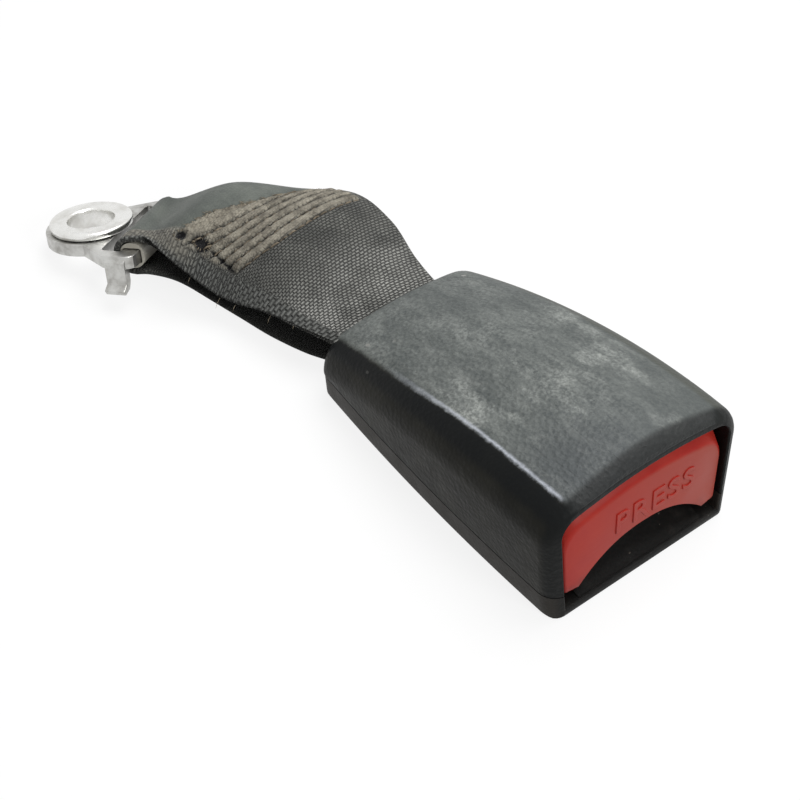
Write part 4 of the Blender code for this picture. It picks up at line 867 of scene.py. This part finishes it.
def lettering(material):
    """Generic raised word on the button's face."""
    curve = bpy.data.curves.new("button_word", "FONT")
    curve.body = "PRESS"
    curve.size = LETTER_HEIGHT * 1.35
    curve.extrude = LETTER_RELIEF
    curve.bevel_depth = LETTER_BEVEL
    curve.bevel_resolution = 1
    curve.resolution_u = 4
    curve.space_character = LETTER_SPACING
    curve.align_x = "CENTER"
    word = add_object("button_word_source", curve)
    bpy.context.view_layer.update()
    mesh = bpy.data.meshes.new_from_object(word.evaluated_get(bpy.context.evaluated_depsgraph_get()))
    bpy.data.objects.remove(word, do_unlink=True)
    tilt = math.atan(FRONT_LEAN / CASING_HEIGHT_FRONT)
    face = lean(CASING_FRONT - BUTTON_RECESS, LETTER_BASE)
    across = Vector((0, 1, 0))
    up = Vector((-math.sin(tilt), 0, math.cos(tilt)))
    out = across.cross(up)
    turn = Matrix((across, up, out)).transposed().to_4x4()
    mesh.transform(Matrix.Translation((face, LETTER_SHIFT, LETTER_BASE)) @ turn)
    item = add_object("button_word", mesh)
    mesh.materials.clear()
    mesh.materials.append(material)
    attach(item, "button")


def anchor_axes():
    """Directions of the anchor plate: towards its bolt hole, across it to the near side, and its normal."""
    turn = Matrix.Rotation(math.radians(ANCHOR_HEADING_DEG), 3, "Z")
    slope = Matrix.Rotation(math.radians(ANCHOR_SLOPE_DEG), 3, "Y")
    roll = Matrix.Rotation(math.radians(ANCHOR_ROLL_DEG), 3, "X")
    return turn @ slope @ roll


def web_wrap_radius():
    """Radius of the webbing's middle line round the guard on the frame bar."""
    return PLATE_THICKNESS / 2 + GAP + GUARD_WALL + GAP + WEB_HALF


def web_layers():
    """Stations of the strap from the frame bar to the anchor bar, as in the part."""
    wrap = web_wrap_radius()
    bar_z = FRAME_FLOOR + PLATE_THICKNESS / 2
    half = WEB_WIDTH_AT_FRAME / 2
    anchor_half = ANCHOR_BAR_LENGTH / 2 - SWING_GAP
    rows = []
    for x in (FRAME_REAR + REAR_BAR_DEPTH, FRAME_REAR):
        rows.append((x, 0, 0, 0, half, bar_z + wrap, 0, 0, bar_z - wrap, 0, 0))
    for share, drift, *rest in WEB_STATIONS:
        x = CASING_REAR + (ANCHOR_BAR.x - CASING_REAR) * share
        rows.append((x, ANCHOR_BAR.y * drift, *rest, 0, 0))
    axes = anchor_axes()
    reach = axes.col[2] * (SLEEVE_RADIUS + GAP + WEB_HALF)
    for lead in (WEB_LEAD, 0.0):
        x, y, z = ANCHOR_BAR - axes.col[0] * lead
        place = (x, y, ANCHOR_HEADING_DEG - 180, ANCHOR_ROLL_DEG, anchor_half)
        place += (z + reach.z, 0, 0, z - reach.z)
        rows.append((*place, reach.x, reach.y))
    return np.array(rows, dtype=float)


def station(table, share):
    """One smooth row between the stations, share running from 0 at the frame bar to 1 at the anchor."""
    last = len(table) - 1
    place = min(max(share, 0.0), 1.0) * last
    low = min(int(place), last - 1)
    t = place - low
    before = table[max(low - 1, 0)]
    start = table[low]
    end = table[low + 1]
    after = table[min(low + 2, last)]
    return 0.5 * (2 * start + (end - before) * t + (2 * before - 5 * start + 4 * end - after) * t ** 2
                  + (3 * start - before - 3 * end + after) * t ** 3)


def web_axes(turn, roll):
    """Across direction, towards the far side, and upward normal of a strap section."""
    turn = math.radians(turn)
    roll = math.radians(roll)
    level = Vector((-math.sin(turn), math.cos(turn), 0))
    up = Vector((0, 0, 1))
    return level * math.cos(roll) - up * math.sin(roll), up * math.cos(roll) + level * math.sin(roll)


def smoothstep(low, high, value):
    """Smooth 0..1 ramp between two values, for arrays."""
    share = np.clip((value - low) / (high - low), 0, 1)
    return share * share * (3 - 2 * share)


def roughness_field(along, across, scale, seed):
    """Seeded noise over the strap, about -1..1."""
    values = [noise.noise((a * scale, b * scale * 0.4, seed)) for a, b in zip(along.ravel(), across.ravel())]
    return np.array(values).reshape(along.shape)


def seam_phase(along, across):
    """Place among the rows of stitching: whole numbers are the grooves that the thread pulls in."""
    bend = SEAM_BEND * np.clip(-across - 0.2, 0, None) ** 2
    return (along - SEAM_START + 0.008 * across - bend) / (SEAM_PITCH - 0.009 * across)


def seam_along(row, across):
    """Share along the strap of one row of stitching."""
    bend = SEAM_BEND * max(-across - 0.2, 0.0) ** 2
    return SEAM_START - 0.008 * across + bend + row * (SEAM_PITCH - 0.009 * across)


def cut_along(across):
    """Share along the strap where the sewn end is cut off."""
    return CUT_START - CUT_SLANT * across


def spot(along, across, centre, size):
    """A soft round spot."""
    return np.exp(-(((along - centre[0]) / size[0]) ** 2 + ((across - centre[1]) / size[1]) ** 2) ** 1.5)


def web_relief(along, across):
    """Relief of the top layer in metres, how dusty, smooth and coarse it is at each place, and how much
    painted shade lies in its torn place and stitch grooves.
    """
    ragged = roughness_field(along, across, 60.0, 3.0)
    lumps = roughness_field(along, across, 130.0, 8.0)
    phase = seam_phase(along, across)
    past_cut = along - cut_along(across) - 0.006 * ragged
    width = smoothstep(-0.81, -0.77, across) * (1 - smoothstep(0.84, 0.92, across))
    covered = width * (1 - smoothstep(0.0, 0.006, past_cut))
    sewn = covered * smoothstep(-0.04, 0.05, phase)
    nearest = np.clip(np.round(phase), 0, SEAM_ROWS - 1)
    groove = np.exp(-((phase - nearest) / 0.12) ** 2) * covered
    ridge = np.abs(np.sin(math.pi * np.clip(phase, 0, None))) ** 0.7
    relief = sewn * (ridge * SEAM_RIDGE + lumps * 0.00018) - groove * SEAM_GROOVE_DEPTH
    free = smoothstep(-0.70, -0.60, across)
    relief -= free * CUT_STEP * smoothstep(0.0, 0.004, past_cut) * np.exp(-np.clip(past_cut, 0, None) / 0.022)
    torn = np.maximum(spot(along, across, TORN_PLACES[0], TORN_SIZES[0]),
                      spot(along, across, TORN_PLACES[1], TORN_SIZES[1]))
    slit = 0.75 * np.exp(-((across + 0.70 + (0.69 - along) * 0.9) / 0.016) ** 2)
    slit = slit * smoothstep(0.575, 0.60, along) * (1 - smoothstep(0.68, 0.70, along))
    torn = np.maximum(torn, slit)
    lump = spot(along, across, (0.748, -0.63), (0.018, 0.050))
    relief += lump * 0.00045 - torn * TORN_DEPTH
    drift = 0.05 * ragged
    dusty = np.maximum(covered * smoothstep(-0.12, 0.02, phase + drift), lump)
    side = smoothstep(0.69, 0.76, along) * smoothstep(-0.99, -0.86, across)
    side = side * (1 - smoothstep(-0.66, -0.58, across))
    dusty = np.maximum(dusty, 0.55 * side)
    smooth = smoothstep(0.0, 0.008, past_cut) * smoothstep(-0.66, -0.60, across + drift)
    coarse = np.maximum(1 - smoothstep(-0.86, -0.80, across), side)
    fade = 1 - 0.8 * (groove + torn).clip(0, 1)
    # The last mask is the painted shade of the torn place and the stitch grooves.
    return relief, dusty * fade, smooth, coarse, torn + groove * 0.62


def web_shares(along):
    """Shares across the top layer at one place; beyond -1 the near edge is curled under."""
    curl = WEB_CURL * smoothstep(0.20, 0.36, along) * (1 - smoothstep(0.84, 0.94, along))
    return -1 - curl + (2 + curl) * (WEB_ACROSS + 1) / 2


def web_section(row, side, shares):
    """Middle line of one strap section with its outward normals; side is 1 for the top layer, -1 below."""
    x, y, turn, roll, half, top, near, far, low, shift_x, shift_y = row
    across, up = (np.array(axis) for axis in web_axes(turn, roll))
    curled = np.clip(-1 - shares, 0, None) * half / WEB_CURL_RADIUS
    shares = np.clip(shares, -1, 1)
    if side > 0:
        middle = np.array((x + shift_x, y + shift_y, top))
        droop = np.where(shares < 0, near, far)
    else:
        middle = np.array((x - shift_x, y - shift_y, low))
        droop = np.zeros_like(shares)
    fall = droop * np.abs(shares) ** 2.6
    steep = 2.6 * droop * np.abs(shares) ** 1.6 * np.sign(shares)
    points = middle + np.outer(shares * half, across) - np.outer(fall, up)
    normals = np.outer(np.full_like(shares, half), up) + np.outer(steep, across)
    normals /= np.linalg.norm(normals, axis=1)[:, None]
    outward = np.cross(normals, np.cross(across, up))
    sine = np.sin(curled)[:, None]
    cosine = np.cos(curled)[:, None]
    points = points + WEB_CURL_RADIUS * (sine * outward - (1 - cosine) * normals)
    normals = normals * cosine + outward * sine
    return points, normals * side


def web_point(along, across, lift):
    """A place on the strap's top layer, raised along its normal, and that normal."""
    points, normals = web_section(station(WEB_TABLE, along), 1, np.array([across]))
    return Vector(points[0] + normals[0] * (WEB_HALF + lift)), Vector(normals[0])


def ring_points(points, normals, relief):
    """One closed ring of the strap: outer face, then the inner one back again, with thin round edges."""
    edge = np.clip((np.abs(WEB_ACROSS) - 0.965) / 0.035, 0, 0.97)
    thin = WEB_HALF * np.sqrt(1 - edge ** 2)
    face = points + normals * (thin + relief)[:, None]
    back = points - normals * thin[:, None]
    return np.concatenate([face, back[::-1]])


def web_rings():
    """Every ring of the strap with its relief masks, once round both bars."""
    blank = np.zeros_like(WEB_ACROSS)
    coarse_edge = 1 - smoothstep(-0.90, -0.82, WEB_ACROSS)
    along = np.repeat(WEB_ALONG[:, None], len(WEB_ACROSS), axis=1)
    across = np.array([web_shares(share) for share in WEB_ALONG])
    # torn carries the painted shade of the torn place and the stitch grooves.
    relief, dusty, smooth, coarse, torn = web_relief(along, across)
    rings = []
    masks = []

    def put(points, normals, lift, marks):
        rings.append(ring_points(points, normals, lift))
        outer = np.stack(marks, axis=1)
        inner = np.stack([blank, blank, coarse_edge, blank], axis=1)
        masks.append(np.concatenate([outer, inner]))

    for index, share in enumerate(WEB_ALONG):
        points, normals = web_section(station(WEB_TABLE, share), 1, across[index])
        put(points, normals, relief[index], (dusty[index], smooth[index], coarse[index], torn[index]))
    axes = anchor_axes()
    wrap = SLEEVE_RADIUS + GAP + WEB_HALF
    half = WEB_TABLE[-1][4]
    line = np.outer(WEB_ACROSS * half, -np.array(axes.col[1]))
    end = (dusty[-1], smooth[-1], coarse[-1], blank)
    for step in range(1, WEB_WRAP_STEPS):
        swing = math.pi * step / WEB_WRAP_STEPS
        normal = np.array(axes.col[2] * math.cos(swing) + axes.col[0] * math.sin(swing))
        put(np.array(ANCHOR_BAR) + line + normal * wrap, np.tile(normal, (len(line), 1)), blank, end)
    for index in range(WEB_LOW_ROWS, -1, -1):
        share = index / WEB_LOW_ROWS
        row = station(WEB_TABLE, share)
        row[4] *= 1 - LOWER_LAYER_NARROWING * math.sin(math.pi * share)
        put(*web_section(row, -1, WEB_ACROSS), blank, (blank, blank, coarse_edge, blank))
    wrap = web_wrap_radius()
    centre = np.array((WEB_TABLE[0][0], 0, FRAME_FLOOR + PLATE_THICKNESS / 2))
    line = np.outer(WEB_ACROSS * WEB_TABLE[0][4], (0, 1, 0))
    for step in range(1, WEB_WRAP_STEPS):
        swing = math.pi * step / WEB_WRAP_STEPS
        normal = np.array((math.sin(swing), 0, -math.cos(swing)))
        put(centre + line + normal * wrap, np.tile(normal, (len(line), 1)), blank, (blank,) * 4)
    return np.array(rings), np.array(masks)


def webbing(material):
    """The strap: one endless band with its weave, sewn end and torn place."""
    rings, masks = web_rings()
    rows, count = rings.shape[:2]
    index = np.arange(rows * count).reshape(rows, count)
    after = np.roll(index, -1, axis=0)
    faces = np.stack([index, after, np.roll(after, -1, axis=1), np.roll(index, -1, axis=1)], axis=-1)
    mesh = bpy.data.meshes.new("webbing_strap")
    mesh.from_pydata(rings.reshape(-1, 3).tolist(), [], faces.reshape(-1, 4).tolist())
    middle = rings[:, count // 4]
    steps = np.linalg.norm(np.diff(middle, axis=0), axis=1)
    length = np.concatenate([[0], np.cumsum(steps)])
    spans = np.linalg.norm(np.diff(rings, axis=1), axis=2)
    width = np.concatenate([np.zeros((rows, 1)), np.cumsum(spans, axis=1)], axis=1)
    width -= width[:, count // 4][:, None]
    flat = np.stack([np.repeat(length[:, None], count, axis=1), width], axis=-1).reshape(-1, 2)
    corners = np.empty(len(mesh.loops), dtype=int)
    mesh.loops.foreach_get("vertex_index", corners)
    layer = mesh.uv_layers.new(name="cloth")
    layer.data.foreach_set("uv", flat[corners].ravel())
    marks = masks.reshape(-1, 4)
    mask = mesh.attributes.new("cloth_mask", "FLOAT_VECTOR", "POINT")
    mask.data.foreach_set("vector", marks[:, :3].ravel())
    # The hole attribute carries the painted shade of the torn place and the stitch grooves.
    hole = mesh.attributes.new("hole", "FLOAT", "POINT")
    hole.data.foreach_set("value", marks[:, 3].copy())
    mesh.materials.append(material)
    mesh.shade_smooth()
    item = add_object("webbing_strap", mesh)
    bm = bmesh.new()
    bm.from_mesh(mesh)
    face_outward(bm)
    bm.to_mesh(mesh)
    bm.free()
    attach(item, "casing")
    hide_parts("webbing")
    return item, float(length[-1])


def add_tube(bm, points, radius, sides=5):
    """A closed thin tube along a few points."""
    points = [Vector(point) for point in points]
    rings = []
    for index, point in enumerate(points):
        along = points[min(index + 1, len(points) - 1)] - points[max(index - 1, 0)]
        along.normalize()
        first = along.orthogonal().normalized()
        second = along.cross(first)
        size = radius * (0.45 if index in (0, len(points) - 1) else 1.0)
        ring = []
        for side in range(sides):
            turn = 2 * math.pi * side / sides
            ring.append(bm.verts.new(point + (first * math.cos(turn) + second * math.sin(turn)) * size))
        rings.append(ring)
    for ring, following in zip(rings, rings[1:]):
        for side in range(sides):
            other = (side + 1) % sides
            bm.faces.new((ring[side], ring[other], following[other], following[side]))
    bm.faces.new(rings[0])
    bm.faces.new(rings[-1])


def stitches(material):
    """Lock stitches along the grooves of the sewn end."""
    bm = bmesh.new()
    chance = np.random.default_rng(STITCH_SEED)
    for row in range(SEAM_ROWS):
        across = -0.74
        while across < 0.84:
            reach = STITCH_LENGTH * (0.85 + 0.3 * chance.random())
            wander = 0.0012 * (chance.random() - 0.5)
            points = []
            for share in (0.0, 0.2, 0.5, 0.8, 1.0):
                side = across + reach * share
                lift = -SEAM_GROOVE_DEPTH * (1 - 0.75 * math.sin(math.pi * share))
                points.append(web_point(seam_along(row, side) + wander, side, lift)[0])
            if seam_along(row, across + reach) < cut_along(across + reach):
                add_tube(bm, points, THREAD_RADIUS * (0.9 + 0.2 * chance.random()), 6)
            across += reach * 1.06
    face_outward(bm)
    return mesh_object("stitching", bm, material, "casing", 0)


def fibres(material):
    """Frayed yarn ends along the cut end and round the torn place, and a few loose ones."""
    bm = bmesh.new()
    chance = np.random.default_rng(FIBRE_SEED)
    for _ in range(FRAYED_ENDS):
        across = -0.66 + 1.48 * chance.random()
        along = cut_along(across) - 0.008 + 0.010 * chance.random()
        length = 0.004 + 0.016 * chance.random() ** 2
        drift = 0.06 * (chance.random() - 0.5)
        points = []
        for share in (0.0, 0.35, 0.7, 1.0):
            lift = 0.00004 + 0.00030 * math.sin(math.pi * min(share + 0.15, 1.0)) * chance.random()
            points.append(web_point(along + length * share, across + drift * share, lift)[0])
        add_tube(bm, points, FIBRE_RADIUS * (0.7 + 0.8 * chance.random()), 4)
    for number in range(TORN_ENDS):
        turn = 2 * math.pi * chance.random()
        centre = TORN_PLACES[0] if number % 3 == 0 else TORN_PLACES[1]
        along = centre[0] + TORN_SIZES[1][0] * math.cos(turn)
        across = centre[1] + TORN_SIZES[1][1] * math.sin(turn)
        points = []
        for share in (0.0, 0.5, 1.0):
            lift = 0.00002 + 0.0002 * share * (1 - share)
            inward = along - 0.008 * share * math.cos(turn)
            sideways = across - 0.035 * share * math.sin(turn)
            points.append(web_point(inward, sideways, lift)[0])
        add_tube(bm, points, FIBRE_RADIUS, 4)
    for along, length in LOOSE_ENDS:
        start, normal = web_point(along, -1.0, -0.0002)
        out = normal * 0.4 + Vector((0.35, -0.5, -0.6))
        points = [start, start + out * length * 0.5, start + out * length + Vector((0.0004, 0, 0.0003))]
        add_tube(bm, points, FIBRE_RADIUS * 0.8, 4)
    face_outward(bm)
    return mesh_object("frayed_ends", bm, material, "casing", 0)


def turned(profile, segments, matrix):
    """A closed (radius, height) profile turned round its own axis."""
    rings = []
    for index in range(segments):
        turn = 2 * math.pi * index / segments
        ring = [matrix @ Vector((r * math.cos(turn), r * math.sin(turn), h)) for r, h in profile]
        rings.append(ring)
    return loft(rings, closed=True)


def bush(material):
    """Turned and flanged steel bush in the bolt hole, with the marks of its bolt on the flange."""
    low = -ANCHOR_THICKNESS / 2
    flange = ANCHOR_THICKNESS / 2 + GAP
    top = flange + BUSH_FLANGE_HEIGHT
    outer = BUSH_FLANGE_RADIUS
    spigot = ANCHOR_HOLE_RADIUS - GAP
    edge = BUSH_EDGE_RADIUS
    profile = [(BUSH_BORE_RADIUS + 0.0003, low), (spigot - 0.0002, low)]
    profile += [(spigot, low + 0.0002), (spigot, flange)]
    profile += [(outer - 0.0001, flange), (outer, flange + 0.0001), (outer, top - edge)]
    profile += arc((outer - edge, top - edge), edge, 20, 90, 4)
    profile += [(outer - 0.0014, top), (outer - 0.0016, top - 0.00008), (outer - 0.0022, top - 0.00008)]
    profile += [(BUSH_BORE_RADIUS + 0.0008, top)]
    profile += arc((BUSH_BORE_RADIUS + edge, top - edge), edge, 90, 180, 4)
    profile += [(BUSH_BORE_RADIUS, low + 0.0003)]
    to_ring = Matrix.Translation((ANCHOR_RING_OFFSET, 0, 0))
    bm = turned(profile, 96, Matrix.Translation(ANCHOR_BAR) @ anchor_axes().to_4x4() @ to_ring)
    item = mesh_object("anchor_bush_turned", bm, material, "anchor", 50)
    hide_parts("anchor_bush")


def dress_nodes(materials):
    """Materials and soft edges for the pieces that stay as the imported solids."""
    for name, (material, width) in materials.items():
        item = frame["nodes"][name]
        item.data.materials.clear()
        item.data.materials.append(material)
        weld = item.modifiers.new("weld", "WELD")
        weld.merge_threshold = 0.00001
        if width:
            bevel(item, width, 2, 35)


def seen_rays(tree):
    """1 for camera, glossy and transmission rays, 0 for all others."""
    path = tree.nodes.new("ShaderNodeLightPath")
    total = path.outputs["Is Camera Ray"]
    for name in ("Is Glossy Ray", "Is Transmission Ray"):
        node = tree.nodes.new("ShaderNodeMath")
        node.operation = "MAXIMUM"
        tree.links.new(total, node.inputs[0])
        tree.links.new(path.outputs[name], node.inputs[1])
        total = node.outputs[0]
    return total


def ray_level(tree, low, high):
    """Low for the rays that light the object, high for those that see the studio."""
    level = tree.nodes.new("ShaderNodeMapRange")
    level.inputs["To Min"].default_value = low
    level.inputs["To Max"].default_value = high
    tree.links.new(seen_rays(tree), level.inputs["Value"])
    return level.outputs[0]


def floor():
    """Pale floor that reads as white to the camera and keeps the shadow."""
    bm = bmesh.new()
    bmesh.ops.create_grid(bm, x_segments=2, y_segments=2, size=FLOOR_HALF_SIZE)
    mesh = bpy.data.meshes.new("floor")
    bm.to_mesh(mesh)
    bm.free()
    item = add_object("floor", mesh)
    item.location.z = -FLOOR_DROP
    material = bpy.data.materials.new("floor_white")
    material.use_nodes = True
    tree = material.node_tree
    diffuse = tree.nodes["Principled BSDF"]
    diffuse.inputs["Roughness"].default_value = 0.9
    white = tree.nodes.new("ShaderNodeEmission")
    blend = tree.nodes.new("ShaderNodeMixShader")
    tree.links.new(ray_level(tree, 0.0, FLOOR_WHITENESS), blend.inputs[0])
    tree.links.new(ray_level(tree, FLOOR_BOUNCE, 1.0), diffuse.inputs["Base Color"])
    tree.links.new(diffuse.outputs[0], blend.inputs[1])
    tree.links.new(white.outputs[0], blend.inputs[2])
    tree.links.new(blend.outputs[0], tree.nodes["Material Output"].inputs["Surface"])
    mesh.materials.append(material)


def world():
    """Even pale surroundings, white where the camera or a reflection sees them."""
    surroundings = bpy.data.worlds.new("studio")
    bpy.context.scene.world = surroundings
    surroundings.use_nodes = True
    tree = surroundings.node_tree
    background = tree.nodes["Background"]
    background.inputs["Color"].default_value = (1.0, 1.0, 1.0, 1.0)
    tree.links.new(ray_level(tree, WORLD_LEVEL, 1.0), background.inputs["Strength"])


def lamps():
    """Large soft lamp overhead and a weaker one from the front."""
    for name, place, size, power in LAMPS:
        light = bpy.data.lights.new(name, "AREA")
        light.energy = power
        light.shape = "DISK"
        light.size = size
        item = add_object(name, light)
        item.location = place
        item.rotation_euler = (Vector(LAMP_TARGET) - Vector(place)).to_track_quat("-Z", "Y").to_euler()


def camera():
    """The photograph's view."""
    yaw = math.radians(CAMERA_YAW_DEG)
    pitch = math.radians(CAMERA_PITCH_DEG)
    roll = math.radians(CAMERA_ROLL_DEG)
    forward = Vector((math.cos(yaw) * math.cos(pitch), math.sin(yaw) * math.cos(pitch), -math.sin(pitch)))
    right = forward.cross(Vector((0, 0, 1))).normalized()
    up = right.cross(forward)
    side = right * math.cos(roll) + up * math.sin(roll)
    top = up * math.cos(roll) - right * math.sin(roll)
    data = bpy.data.cameras.new("photograph")
    data.lens = CAMERA_LENS_MM
    data.sensor_width = CAMERA_SENSOR_MM
    data.clip_start = 0.01
    item = add_object("photograph", data)
    turn = Matrix((side, top, -forward)).transposed().to_4x4()
    item.matrix_world = Matrix.Translation(CAMERA_PLACE) @ turn
    bpy.context.scene.camera = item


def main():
    """Dress the frame, then light it and look at it."""
    plastic = casing_plastic()
    tray = tray_plastic()
    red = button_plastic()
    steel = plated_steel("zinc_plate", (0.62, 0.61, 0.58), (0.46, 0.45, 0.41), 0.30)
    bright_steel = plated_steel("bright_zinc_plate", (0.80, 0.80, 0.78), (0.60, 0.59, 0.56), 0.24)
    plate_steel = plated_steel("worn_zinc_plate", (0.56, 0.56, 0.54), (0.27, 0.26, 0.24), 0.30)
    spring = plated_steel("spring_wire", (0.40, 0.40, 0.42), (0.25, 0.25, 0.26), 0.25)
    white_plastic = acetal("acetal")
    half_casing("casing_cover", "upper_shell", True, plastic)
    half_casing("casing_tray", "lower_shell", False, tray)
    funnel(tray)
    button(red)
    lettering(red)
    strap, length = webbing(webbing_weave())
    thread = stitches(thread_material("sewing_thread", (0.26, 0.215, 0.155), (0.06, 0.048, 0.034)))
    frayed = fibres(thread_material("frayed_yarn", (0.33, 0.28, 0.20), (0.12, 0.098, 0.070)))
    bush(bright_steel)
    dressing = {
        "anchor_plate": (plate_steel, 0.00035),
        "frame_channel": (steel, 0.00015),
        "frame_bridge": (steel, 0.00015),
        "latch_plate": (steel, 0.00015),
        "latch_pivot_pin": (steel, 0.0001),
        "lock_bar": (steel, 0.00015),
        "ejector": (white_plastic, 0.0002),
    }
    for name in ("anchor_sleeve", "webbing_guard"):
        dressing[name] = (white_plastic, 0.0)
    for name in ("ejector_spring", "button_spring_left", "button_spring_right"):
        dressing[name] = (spring, 0.0)
    for corner in ("rear_left", "rear_right", "front_left", "front_right"):
        dressing["frame_rivet_" + corner] = (steel, 0.0)
    dress_nodes(dressing)
    floor()
    world()
    lamps()
    camera()
    bpy.context.scene.view_settings.view_transform = "Standard"


WEB_TABLE = web_layers()
main()
